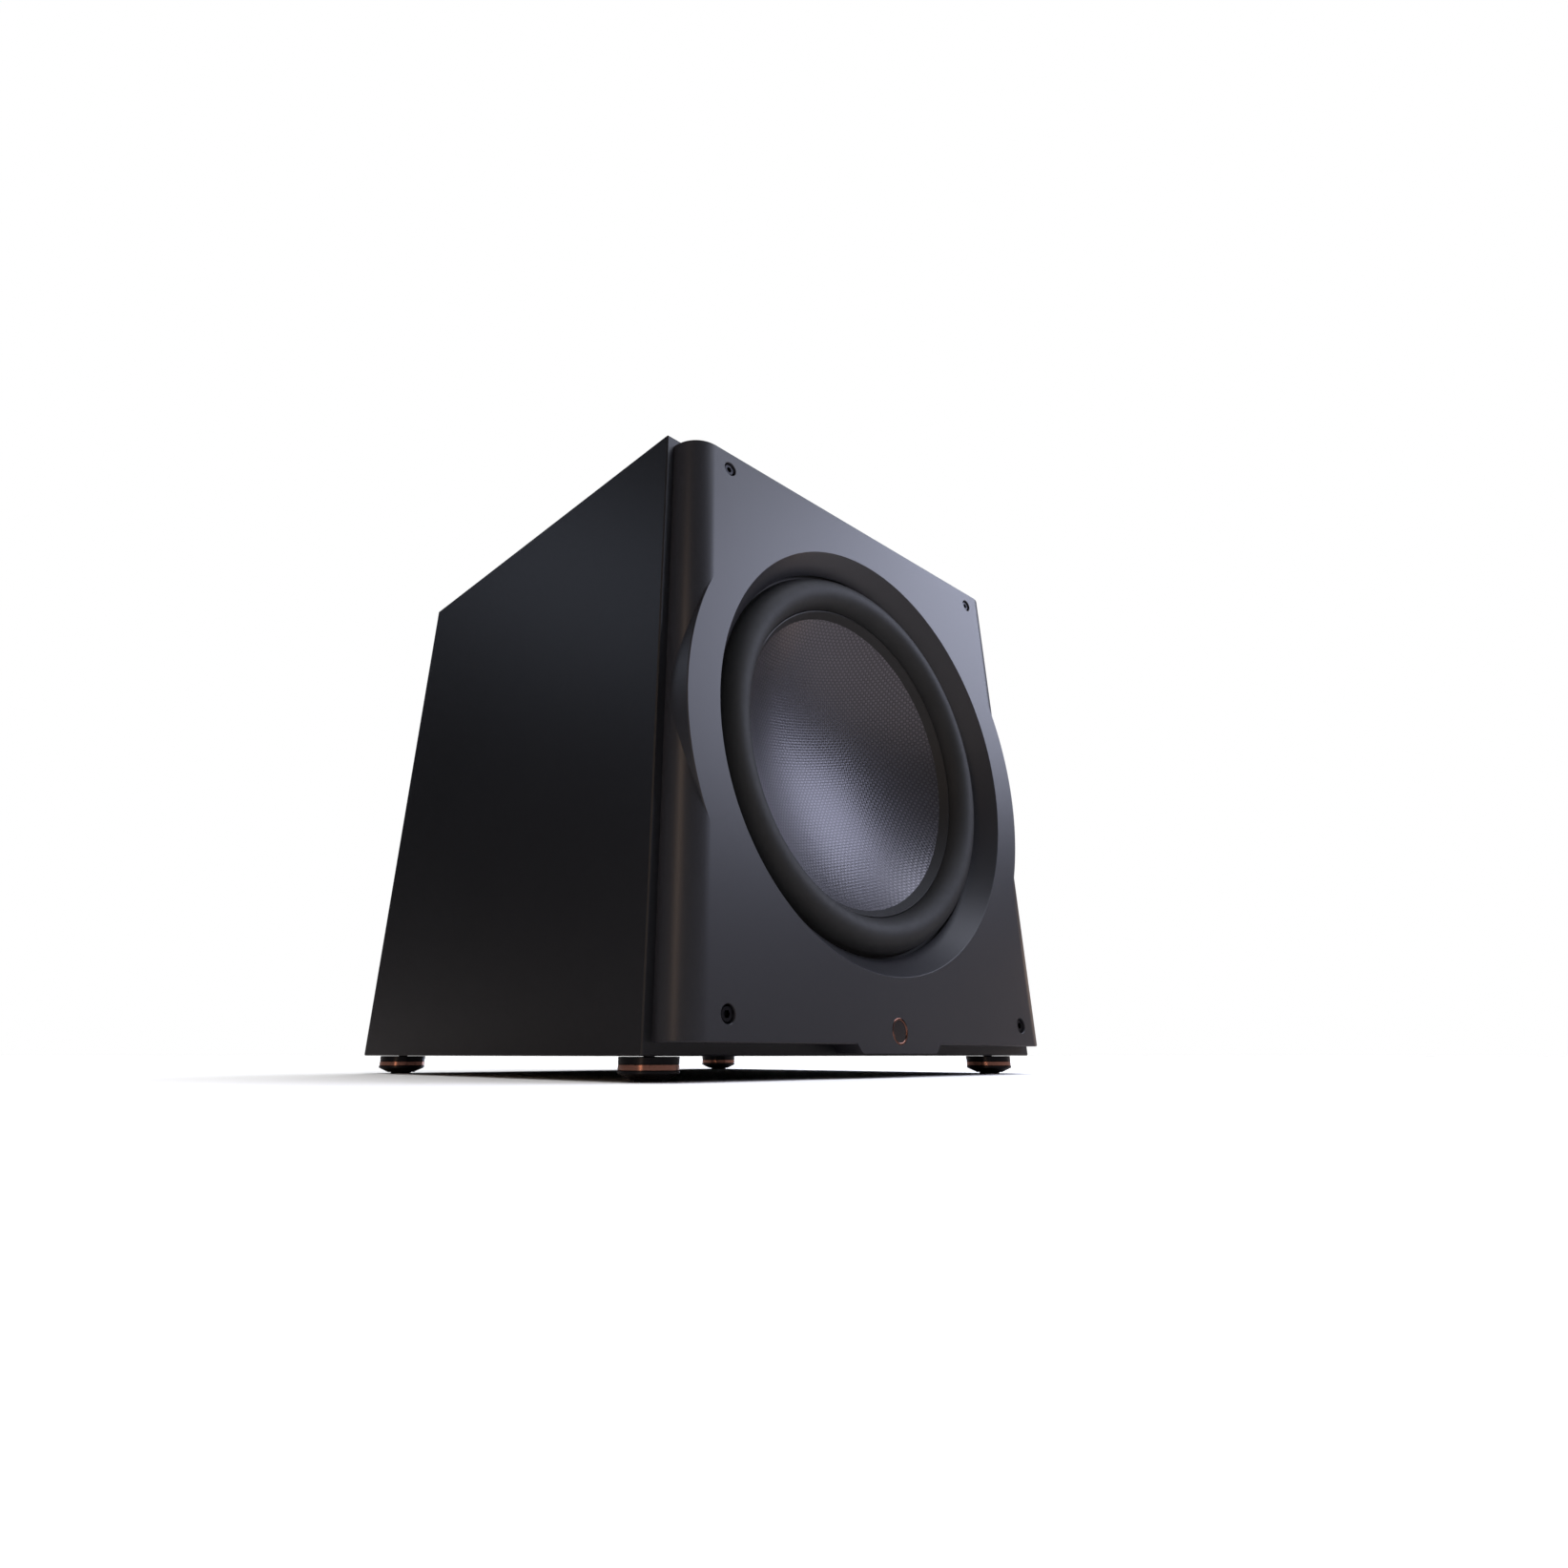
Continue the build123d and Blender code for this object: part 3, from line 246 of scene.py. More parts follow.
def prism(name, outline, low, high):
    """A closed outline of (x, z) drawn straight from low to high along Y."""
    bm = bmesh.new()
    ends = []
    for along in (low, high):
        ends.append([bm.verts.new((x, along, z)) for x, z in outline])
    count = len(outline)
    for index in range(count):
        after = (index + 1) % count
        bm.faces.new((ends[0][index], ends[0][after], ends[1][after], ends[1][index]))
    bm.faces.new(ends[0])
    bm.faces.new(ends[1])
    return finish_mesh(bm, name)


def loft(name, rings):
    """Closed rings of points joined one to the next, with the first and the last filled."""
    bm = bmesh.new()
    rows = [[bm.verts.new(spot) for spot in ring] for ring in rings]
    count = len(rings[0])
    for here, there in zip(rows, rows[1:]):
        for index in range(count):
            after = (index + 1) % count
            bm.faces.new((here[index], here[after], there[after], there[index]))
    bm.faces.new(rows[0])
    bm.faces.new(rows[-1])
    return finish_mesh(bm, name)


def combine(piece, tools, operation):
    """Joins tools to a piece or cuts them out of it, and deletes them."""
    for tool in tools:
        change = piece.modifiers.new(tool.name, "BOOLEAN")
        change.operation = operation
        change.solver = "EXACT"
        change.object = tool
    bpy.context.view_layer.update()
    graph = bpy.context.evaluated_depsgraph_get()
    mesh = bpy.data.meshes.new_from_object(piece.evaluated_get(graph))
    piece.modifiers.clear()
    old = piece.data
    piece.data = mesh
    bpy.data.meshes.remove(old)
    for tool in tools:
        bpy.data.meshes.remove(tool.data)


# ---------------------------------------------------------------- material helpers
def socket_of(sockets, kind, name):
    """A mix node's socket: it has one of each name for every type of value."""
    return next(socket for socket in sockets if socket.type == kind and socket.name == name)


class Finish:
    """A node tree under one principled shader, with short ways to add what most finishes need."""

    def __init__(self, name, colour, roughness, metallic=0.0, coat=0.0, coat_roughness=0.1, specular=0.5):
        self.material = bpy.data.materials.new(name + FINISH_SUFFIX)
        self.material.use_nodes = True
        self.nodes = self.material.node_tree.nodes
        self.links = self.material.node_tree.links
        self.shader = self.nodes["Principled BSDF"]
        self.set("Base Color", (*colour, 1.0))
        self.set("Roughness", roughness)
        self.set("Metallic", metallic)
        self.set("Coat Weight", coat)
        self.set("Coat Roughness", coat_roughness)
        self.set("Specular IOR Level", specular)
        self.place = self.nodes.new("ShaderNodeTexCoord").outputs["Object"]

    def set(self, socket, value):
        self.shader.inputs[socket].default_value = value

    def math(self, operation, *values):
        node = self.nodes.new("ShaderNodeMath")
        node.operation = operation
        for index, value in enumerate(values):
            if isinstance(value, (int, float)):
                node.inputs[index].default_value = value
            else:
                self.links.new(value, node.inputs[index])
        return node.outputs[0]

    def vector(self, operation, first, second, output="Vector"):
        node = self.nodes.new("ShaderNodeVectorMath")
        node.operation = operation
        for index, value in enumerate((first, second)):
            if isinstance(value, tuple):
                node.inputs[index].default_value = value
            else:
                self.links.new(value, node.inputs[index])
        return node.outputs[output]

    def stretched(self, scale):
        """The object's coordinates, scaled along each axis."""
        return self.vector("MULTIPLY", self.place, scale)

    def noise(self, scale, detail, roughness=0.5, stretch=None):
        node = self.nodes.new("ShaderNodeTexNoise")
        node.inputs["Scale"].default_value = scale
        node.inputs["Detail"].default_value = detail
        node.inputs["Roughness"].default_value = roughness
        self.links.new(self.stretched(stretch) if stretch else self.place, node.inputs["Vector"])
        return node.outputs["Fac"]

    def cells(self, scale):
        node = self.nodes.new("ShaderNodeTexVoronoi")
        node.inputs["Scale"].default_value = scale
        self.links.new(self.place, node.inputs["Vector"])
        return node.outputs["Distance"]

    def between(self, value, low, high):
        """A value from 0 to 1 carried to the range from low to high."""
        node = self.nodes.new("ShaderNodeMapRange")
        self.links.new(value, node.inputs["Value"])
        node.inputs["To Min"].default_value = low
        node.inputs["To Max"].default_value = high
        return node.outputs["Result"]

    def mix_colour(self, amount, first, second):
        node = self.nodes.new("ShaderNodeMix")
        node.data_type = "RGBA"
        self.links.new(amount, node.inputs["Factor"])
        for name, value in (("A", first), ("B", second)):
            socket = socket_of(node.inputs, "RGBA", name)
            if isinstance(value, tuple):
                socket.default_value = (*value, 1.0)
            else:
                self.links.new(value, socket)
        return socket_of(node.outputs, "RGBA", "Result")

    def paint(self, colour):
        self.links.new(colour, self.shader.inputs["Base Color"])

    def rough(self, value):
        self.links.new(value, self.shader.inputs["Roughness"])

    def bump(self, height, distance, strength):
        node = self.nodes.new("ShaderNodeBump")
        node.inputs["Strength"].default_value = strength
        node.inputs["Distance"].default_value = distance
        self.links.new(height, node.inputs["Height"])
        previous = self.shader.inputs["Normal"]
        if previous.is_linked:
            self.links.new(previous.links[0].from_socket, node.inputs["Normal"])
        self.links.new(node.outputs["Normal"], self.shader.inputs["Normal"])


def tint(colour, factor):
    return tuple(min(1.0, channel * factor) for channel in colour)


def lacquer(name, colour, roughness):
    """Sprayed satin lacquer: faint orange peel, a little dust in the gloss and slow tone changes."""
    made = Finish(name, colour, roughness)
    cloud = made.noise(scale=3.5, detail=2.0)
    dust = made.noise(scale=900.0, detail=2.0)
    made.paint(made.mix_colour(cloud, tint(colour, 0.88), tint(colour, 1.12)))
    slow_gloss = made.between(cloud, low=roughness - 0.02, high=roughness + 0.02)
    made.rough(made.math("ADD", made.between(dust, low=-0.025, high=0.025), slow_gloss))
    made.bump(made.noise(scale=260.0, detail=2.0), distance=0.04 * MM, strength=0.35)
    made.bump(made.noise(scale=2600.0, detail=1.0), distance=0.01 * MM, strength=0.4)
    return made.material


def moulded(name, colour, roughness, grain=0.35, scale=2200.0, specular=0.5):
    """Moulded plastic or rubber with a fine even grain."""
    made = Finish(name, colour, roughness, specular=specular)
    cloud = made.noise(scale=18.0, detail=3.0)
    made.paint(made.mix_colour(cloud, tint(colour, 0.8), tint(colour, 1.25)))
    wear = made.noise(scale=160.0, detail=3.0)
    made.rough(made.between(wear, low=roughness - 0.05, high=roughness + 0.06))
    made.bump(made.cells(scale), distance=0.03 * MM, strength=grain)
    made.bump(made.noise(scale=60.0, detail=3.0), distance=0.05 * MM, strength=0.15)
    return made.material


def turned_metal(name, colour, roughness, lines=(1.0, 1.0, 60.0), coat=0.0):
    """Machined metal with fine tool lines across one axis and slight smudges."""
    made = Finish(name, colour, roughness, metallic=1.0, coat=coat)
    made.set("Anisotropic", 0.4)
    tool = made.noise(scale=180.0, detail=2.0, roughness=0.6, stretch=lines)
    smudge = made.noise(scale=45.0, detail=3.0)
    made.paint(made.mix_colour(smudge, tint(colour, 0.86), tint(colour, 1.1)))
    smudged_gloss = made.between(smudge, low=roughness - 0.05, high=roughness + 0.07)
    made.rough(made.math("ADD", made.between(tool, low=-0.05, high=0.05), smudged_gloss))
    made.bump(tool, distance=0.02 * MM, strength=0.3)
    return made.material


def carbon_weave(name, colour, pitch, turn, centre):
    """Plain-weave carbon cloth under clear resin: each tow shines along its own fibres. Its colour carries
    painted shade where the tows dip under and a painted highlight on the weft tows.
    """
    made = Finish(name, colour, 0.28, metallic=0.8, coat=0.1, coat_roughness=0.25)
    along = (cos(turn), 0.0, sin(turn))
    up = (-sin(turn), 0.0, cos(turn))
    spot = made.vector("SUBTRACT", made.place, centre)
    u = made.math("DIVIDE", made.vector("DOT_PRODUCT", spot, along, "Value"), pitch)
    v = made.math("DIVIDE", made.vector("DOT_PRODUCT", spot, up, "Value"), pitch)

    # The tow on top changes from one cell of the cloth to the next.
    cell = made.math("ADD", made.math("FLOOR", u), made.math("FLOOR", v))
    weft = made.math("MODULO", made.math("ABSOLUTE", cell), 2.0)
    warp = made.math("SUBTRACT", 1.0, weft)

    def on_top(of_weft, of_warp):
        """One value where the weft is on top, and another where the warp is."""
        return made.math("ADD", made.math("MULTIPLY", of_weft, weft), made.math("MULTIPLY", of_warp, warp))

    # Each tow is crowned across its width and dips where it goes under.
    crown_power, dip = 0.6, 0.55
    across_u = made.math("SINE", made.math("MULTIPLY", made.math("FRACT", u), pi))
    across_v = made.math("SINE", made.math("MULTIPLY", made.math("FRACT", v), pi))
    crown_weft = made.math("POWER", across_v, crown_power)
    crown_weft = made.math("MULTIPLY", crown_weft, made.between(across_u, low=dip, high=1.0))
    crown_warp = made.math("POWER", across_u, crown_power)
    crown_warp = made.math("MULTIPLY", crown_warp, made.between(across_v, low=dip, high=1.0))
    height = on_top(crown_weft, crown_warp)

    fibre_scale, fibre_length = 400.0, 30.0
    fibre_weft = made.noise(scale=fibre_scale, detail=2.0, stretch=(1.0, 1.0, fibre_length))
    fibre_warp = made.noise(scale=fibre_scale, detail=2.0, stretch=(fibre_length, 1.0, 1.0))
    fibre = on_top(fibre_weft, fibre_warp)

    # Painted light: the colour is darker where each tow dips under (painted shade) and lighter on the weft
    # tows (painted highlight). It is mixed between a shaded and a lit copy of the tow colour, and the fibre
    # streaks are grain.
    painted_shade_share, weft_painted_highlight = 0.5, 0.25
    dip_painted_shade = made.between(height, low=0.35, high=1.15)
    shade = made.math("MULTIPLY", dip_painted_shade, made.between(fibre, low=0.8, high=1.2))
    tone = made.math("MULTIPLY", shade, painted_shade_share)
    tone = made.math("ADD", tone, made.math("MULTIPLY", weft, weft_painted_highlight))
    made.paint(made.mix_colour(tone, tint(colour, 0.15), tint(colour, 2.6)))
    made.rough(made.between(fibre, low=0.24, high=0.36))
    made.bump(height, distance=0.3 * MM, strength=0.42)

    fibre_way = made.nodes.new("ShaderNodeMix")
    fibre_way.data_type = "VECTOR"
    made.links.new(weft, fibre_way.inputs["Factor"])
    socket_of(fibre_way.inputs, "VECTOR", "A").default_value = up
    socket_of(fibre_way.inputs, "VECTOR", "B").default_value = along
    made.set("Anisotropic", 0.75)
    made.links.new(socket_of(fibre_way.outputs, "VECTOR", "Result"), made.shader.inputs["Tangent"])
    return made.material


def cloth(name, dark, light, scale=1500.0):
    """Loose or woven fibre with soft sheen."""
    made = Finish(name, light, 0.9, specular=0.2)
    made.set("Sheen Weight", 0.4)
    made.paint(made.mix_colour(made.noise(scale=120.0, detail=6.0, roughness=0.7), dark, light))
    made.bump(made.noise(scale=scale, detail=5.0, roughness=0.7), distance=0.8 * MM, strength=0.7)
    return made.material


def fibreboard(name):
    """Raw fibreboard edge and face."""
    made = Finish(name, (0.42, 0.31, 0.21), 0.8, specular=0.25)
    flecks = made.noise(scale=900.0, detail=4.0, roughness=0.7)
    made.paint(made.mix_colour(flecks, (0.30, 0.21, 0.13), (0.52, 0.40, 0.28)))
    made.bump(made.noise(scale=1800.0, detail=3.0), distance=0.1 * MM, strength=0.5)
    return made.material


def circuit(name):
    """Green solder mask with faint copper tracks."""
    made = Finish(name, (0.015, 0.10, 0.045), 0.35, coat=0.4)
    track_share = 0.56
    blotches = made.noise(scale=220.0, detail=1.0, roughness=0.4, stretch=(1.0, 1.0, 3.0))
    tracks = made.math("GREATER_THAN", blotches, track_share)
    made.paint(made.mix_colour(tracks, (0.010, 0.075, 0.035), (0.03, 0.17, 0.07)))
    made.bump(tracks, distance=0.03 * MM, strength=0.6)
    return made.material


def smoked_glass(name):
    """A dark glossy window with a faint film under it."""
    made = Finish(name, (0.006, 0.006, 0.008), 0.08, coat=1.0, coat_roughness=0.03)
    made.rough(made.between(made.noise(scale=35.0, detail=4.0), low=0.05, high=0.14))
    made.bump(made.noise(scale=25.0, detail=1.0), distance=0.02 * MM, strength=0.1)
    return made.material


def finishes(colours, sizes):
    """Every finish, under the name of the record's slot that it belongs to."""
    centre = (DRIVER_X, 0.0, DRIVER_Z)
    weave = carbon_weave("carbon_weave", tuple(colours.tow), sizes.tow_pitch, sizes.weave_turn, centre)
    return {
        "cabinet_lacquer": lacquer("cabinet_lacquer", tuple(colours.cabinet), 0.42),
        "baffle_lacquer": lacquer("baffle_lacquer", tuple(colours.baffle), 0.38),
        "bare_board": fibreboard("bare_board"),
        "wadding": cloth("wadding", (0.38, 0.38, 0.36), (0.66, 0.66, 0.62), 500.0),
        "black_steel": turned_metal("black_steel", (0.030, 0.030, 0.034), 0.36),
        "insert_brass": turned_metal("insert_brass", (0.62, 0.46, 0.22), 0.3),
        "copper_trim": turned_metal("copper_trim", tuple(colours.copper), 0.16, coat=0.1),
        "badge_face": moulded("badge_face", (0.016, 0.013, 0.013), 0.2, 0.05, 900.0),
        "cast_alloy": moulded("cast_alloy", (0.03, 0.03, 0.032), 0.55, 0.9, 1500.0),
        "gasket_foam": moulded("gasket_foam", (0.012, 0.012, 0.012), 0.85, 1.0, 1200.0),
        "rubber": moulded("rubber", tuple(colours.rubber), 0.62, 0.5, 2600.0, 0.32),
        "ring_black": moulded("ring_black", (0.008, 0.008, 0.008), 0.55, 0.3, 2600.0),
        "carbon_weave": weave,
        "spider_cloth": cloth("spider_cloth", (0.45, 0.34, 0.16), (0.68, 0.54, 0.30)),
        "coil_former": moulded("coil_former", (0.50, 0.36, 0.14), 0.35, 0.2, 900.0),
        "copper_wire": turned_metal("copper_wire", (0.70, 0.30, 0.16), 0.25, (1.0, 60.0, 1.0)),
        "plated_steel": turned_metal("plated_steel", (0.40, 0.40, 0.38), 0.35),
        "ferrite": moulded("ferrite", (0.030, 0.030, 0.033), 0.6, 0.8, 700.0),
        "bare_aluminium": turned_metal("bare_aluminium", (0.60, 0.61, 0.63), 0.38, (60.0, 1.0, 1.0)),
        "socket_plastic": moulded("socket_plastic", (0.013, 0.013, 0.014), 0.45, 0.5, 2400.0),
        "cable_jacket": moulded("cable_jacket", (0.016, 0.016, 0.016), 0.6, 0.4, 1500.0),
        "foot_black": turned_metal("foot_black", (0.020, 0.020, 0.022), 0.28, (1.0, 1.0, 40.0), coat=0.1),
        "amp_plate_black": moulded("amp_plate_black", (0.014, 0.014, 0.015), 0.52, 1.0, 1700.0),
        "circuit_board": circuit("circuit_board"),
        "contact_metal": turned_metal("contact_metal", (0.72, 0.70, 0.66), 0.22),
        "rocker_plastic": moulded("rocker_plastic", (0.010, 0.010, 0.010), 0.22, 0.1, 1800.0),
        "knob_black": turned_metal("knob_black", (0.030, 0.030, 0.034), 0.32, (1.0, 40.0, 1.0)),
        "display_glass": smoked_glass("display_glass"),
        "gold_shell": turned_metal("gold_shell", (0.80, 0.56, 0.22), 0.2),
        "socket_nickel": turned_metal("socket_nickel", (0.68, 0.67, 0.64), 0.24),
    }


def slot_of(node):
    """The record's material slot of a node."""
    return next(part["material_slot"] for part in frame["record"]["subparts"] if part["node"] == node)


def dress(piece, slot):
    """Gives a piece made here the finish of the record's slot it belongs to."""
    piece.data.materials.clear()
    piece.data.materials.append(bpy.data.materials[slot + FINISH_SUFFIX])


# ---------------------------------------------------------------- operators
class SUBWOOFER_OT_finishes(bpy.types.Operator):
    """Make every finish and put it on the frame's own parts"""

    bl_idname = "subwoofer.finishes"
    bl_label = "Finishes"

    def execute(self, context):
        made = finishes(context.scene.subwoofer_colours, context.scene.subwoofer_sizes)
        for node, piece in frame["nodes"].items():
            if not piece.material_slots:
                piece.data.materials.append(made[slot_of(node)])
            for slot in piece.material_slots:
                slot.material = made[slot_of(node)]
        return {"FINISHED"}


class SUBWOOFER_OT_baffle(bpy.types.Operator):
    """Make the front baffle with rounded sides, a round boss, a flare and crisp small chamfers"""

    bl_idname = "subwoofer.baffle"
    bl_label = "Front baffle"

    # The chamfer on the board's edges, its bottom's height and how far a cutter runs past it.
    edge = 0.8 * MM
    bottom = 23.7 * MM
    past = 1.0 * MM
    round_steps = 360
    sharp_angle = radians(12)

    def execute(self, context):
        low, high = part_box("front_baffle")
        front, back = low[1], high[1]
        baffle = self.board(front, back, high[0], high[2])
        combine(baffle, (self.boss(front, back), self.tab(front, back, low[2])), "UNION")
        cutters = [self.flare(front, back), *self.screw_bores(front, back), self.badge_seat(front)]
        combine(baffle, cutters, "DIFFERENCE")
        baffle.data.shade_smooth()
        baffle.data.set_sharp_from_angle(angle=self.sharp_angle)
        dress(baffle, "baffle_lacquer")
        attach(baffle, BODY)
        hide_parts("front_baffle")
        return {"FINISHED"}

    def board(self, front, back, half, top):
        """The board, with quarter-round sides and a small chamfer along its top and bottom."""
        edge, bottom = self.edge, self.bottom
        thick = back - front
        flat = half - thick
        quarter_steps = 30

        def section(inset, height):
            right = arc((flat, back), (thick - inset, thick - inset), 0, -90, quarter_steps)
            left = [(-x, y) for x, y in reversed(right)]
            return [(x, y, height) for x, y in right + left]

        rows = ((edge, bottom), (0.0, bottom + edge), (0.0, top - edge), (edge, top))
        return loft("baffle", [section(inset, height) for inset, height in rows])

    def boss(self, front, back):
        """The round boss, which stands out of the board's rounded sides."""
        radius, edge = 229.0 * MM, self.edge
        outline = [(0.0, back), (radius, back), (radius, front + edge), (radius - edge, front), (0.0, front)]
        return lathe("boss", outline, (DRIVER_X, 0.0, DRIVER_Z), steps=self.round_steps)

    def tab(self, front, back, low):
        """The shallow tab under the middle of the board."""
        root, shoulder, end, chamfer = 53.2 * MM, 48.7 * MM, 46.6 * MM, 1.2 * MM
        inside = self.bottom + 2 * self.edge
        right = [(end, low), (shoulder, low + chamfer), (root, self.bottom), (root, inside)]
        left = [(-x, z) for x, z in reversed(right)]
        return prism("tab", left + right, front, back)

    def flare(self, front, back):
        """The cutter for the driver's opening: a cone, a short land and the relief behind it."""
        edge, past = self.edge, self.past
        mouth, throat, relief, land = 195.6 * MM, 180.0 * MM, 196.0 * MM, 0.6 * MM
        flare_end = front + 21.2 * MM
        slope = (mouth - throat) / (flare_end - front)
        outline = [
            (0.0, front - past),
            (mouth + past + edge / 2, front - past),
            (mouth - slope * edge / 2, front + edge / 2),
            (throat, flare_end),
            (throat, flare_end + land),
            (relief, flare_end + land),
            (relief, back + past),
            (0.0, back + past),
        ]
        return lathe("flare", outline, (DRIVER_X, 0.0, DRIVER_Z), steps=self.round_steps)

    def screw_bores(self, front, back):
        """The cutters for the four screws: a chamfered bore for the head and a hole for the shank."""
        past = self.past
        across, heights = 186.0 * MM, (41.2 * MM, 489.2 * MM)
        bore, shank, chamfer = 6.4 * MM, 3.3 * MM, 0.5 * MM
        bore_end = front + 7.6 * MM
        outline = [
            (0.0, front - past),
            (bore + chamfer + past, front - past),
            (bore, front + chamfer),
            (bore, bore_end),
            (shank, bore_end),
            (shank, back + past),
            (0.0, back + past),
        ]
        places = [(x, 0.0, z) for x in (-across, across) for z in heights]
        return [lathe(f"bore_{index + 1}", outline, place, steps=64) for index, place in enumerate(places)]

    def badge_seat(self, front):
        """The cutter for the shallow round seat of the badge."""
        at = middle("badge_rim")
        clearance, depth = 0.05 * MM, 2.2 * MM
        radius = half_width("badge_rim") + clearance
        starts, ends = front - self.past, front + depth
        outline = [(0.0, starts), (radius, starts), (radius, ends), (0.0, ends)]
        return lathe("badge_seat", outline, (at.x, 0.0, at.z), steps=96)


def roll_outline(sizes):
    """Cross-section of the surround as (radius, y): outer foot, half roll and inner foot."""
    roll, half, height, wall = sizes.roll_middle, sizes.roll_half_width, sizes.roll_height, sizes.rubber
    low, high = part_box("surround")
    foot_outer = (high[0] - low[0]) / 2
    base = low[1] + height
    inner_back = high[1]
    foot = 1.4 * MM
    # The outer foot stops short of the roll, and the inner one reaches under the cone's trim ring.
    outer_gap, inner_reach, inner_step = 0.8 * MM, 4.2 * MM, 0.1 * MM
    first_angle, last_angle, arc_steps = -8, -172, 22
    inner = roll - half
    outline = [(foot_outer, base), (foot_outer, base - foot), (roll + half + outer_gap, base - foot)]
    outline += arc((roll, base), (half, height), first_angle, last_angle, arc_steps)
    outline += [(inner, base), (inner, inner_back - foot - inner_step)]
    outline += [(inner - inner_reach, inner_back - foot), (inner - inner_reach, inner_back)]
    outline += [(inner + wall, inner_back), (inner + wall, base)]
    outline += arc((roll, base), (half - wall, height - wall), -180, 0, arc_steps)
    return outline


class SUBWOOFER_OT_surround(bpy.types.Operator):
    """Make the rubber roll surround in gores"""

    bl_idname = "subwoofer.surround"
    bl_label = "Surround"

    def execute(self, context):
        sizes = context.scene.subwoofer_sizes
        centre = Vector((DRIVER_X, 0.0, DRIVER_Z))
        outline = roll_outline(sizes)
        sweep = FULL_TURN / sizes.gores
        gore_steps = 12
        for index in range(sizes.gores):
            start = index * sweep
            name = f"surround_gore_{index + 1:02d}"
            gore = lathe(name, outline, centre, gore_steps, start=start, sweep=sweep)
            dress(gore, "rubber")
            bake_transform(gore)
            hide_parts("surround")
        return {"FINISHED"}


class SUBWOOFER_OT_spider(bpy.types.Operator):
    """Make the corrugated spider in gores"""

    bl_idname = "subwoofer.spider"
    bl_label = "Spider"

    def execute(self, context):
        gores = context.scene.subwoofer_sizes.gores // 2
        low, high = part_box("spider")
        coil_gap, inner_flat, outer_flat = 0.05 * MM, 3.3 * MM, 10.0 * MM
        coil = half_width("voice_coil_former") + coil_gap
        outer = (high[0] - low[0]) / 2
        cloth_wall, wave = 0.6 * MM, 2.0 * MM
        back_face = high[1] - cloth_wall
        waves, points, gore_steps = 5, 10, 12
        first, last = coil + inner_flat, outer - outer_flat
        front_edge = [(coil, back_face)]
        for step in range(waves * points + 1):
            rise = wave * (0.5 - 0.5 * cos(FULL_TURN * step / points))
            front_edge.append((first + (last - first) * step / (waves * points), back_face - rise))
        front_edge.append((outer, back_face))
        outline = front_edge + [(radius, along + cloth_wall) for radius, along in reversed(front_edge)]
        centre = Vector((DRIVER_X, 0.0, DRIVER_Z))
        sweep = FULL_TURN / gores
        for index in range(gores):
            start = index * sweep
            name = f"spider_gore_{index + 1:02d}"
            gore = lathe(name, outline, centre, gore_steps, start=start, sweep=sweep)
            dress(gore, "spider_cloth")
            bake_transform(gore)
            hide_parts("spider")
        return {"FINISHED"}


class SUBWOOFER_OT_knob_mark(bpy.types.Operator):
    """Make the pale mark let into the knob's ring groove, which shows how far it is turned"""

    bl_idname = "subwoofer.knob_mark"
    bl_label = "Knob mark"

    def execute(self, context):
        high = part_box("control_knob")[1]
        at = middle("control_knob")
        # The mark fills one short stretch of the groove, from its floor to just under the knob's face.
        groove_inset, groove_width, half = 2.65 * MM, 0.8 * MM, 0.9 * MM
        floor_depth, face_gap = 0.99 * MM, 0.15 * MM
        groove_inner = half_width("control_knob") - groove_inset
        groove_outer = groove_inner + groove_width
        outline = [
            (at.x - half, at.z + groove_inner),
            (at.x + half, at.z + groove_inner),
            (at.x + half, at.z + groove_outer),
            (at.x - half, at.z + groove_outer),
        ]
        mark = prism("knob_mark", outline, high[1] - floor_depth, high[1] - face_gap)
        pale = moulded("knob_mark", (0.75, 0.75, 0.73), 0.4, 0.1)
        mark.data.materials.append(pale)
        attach(mark, "control_knob")
        return {"FINISHED"}


class SUBWOOFER_OT_cone(bpy.types.Operator):
    """Make the woven cone as one smooth dish with a flat rim"""

    bl_idname = "subwoofer.cone"
    bl_label = "Cone"

    def execute(self, context):
        sizes = context.scene.subwoofer_sizes
        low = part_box("cone")[0]
        wall = 1.5 * MM
        rim = half_width("cone")
        # The dish is part of a sphere, and meets the flat rim at this radius.
        edge = 138.8 * MM
        depth = sizes.dish_depth
        sphere = (edge**2 + depth**2) / (2 * depth)
        middle_y = low[1] + depth - sphere
        steps, turn_steps = 40, 256
        outline = []
        for step in range(steps + 1):
            radius = edge * step / steps
            outline.append((radius, middle_y + sqrt(sphere**2 - radius**2)))
        outline += [(rim, low[1]), (rim, low[1] + wall)]
        back = sphere + wall
        inset = sqrt(back**2 - (low[1] + wall - middle_y) ** 2)
        for step in range(steps, -1, -1):
            radius = inset * step / steps
            outline.append((radius, middle_y + sqrt(back**2 - radius**2)))
        dish = lathe("cone_dish", outline, (DRIVER_X, 0.0, DRIVER_Z), turn_steps)
        dress(dish, "carbon_weave")
        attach(dish, CONE_BODY)
        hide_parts("cone")
        return {"FINISHED"}


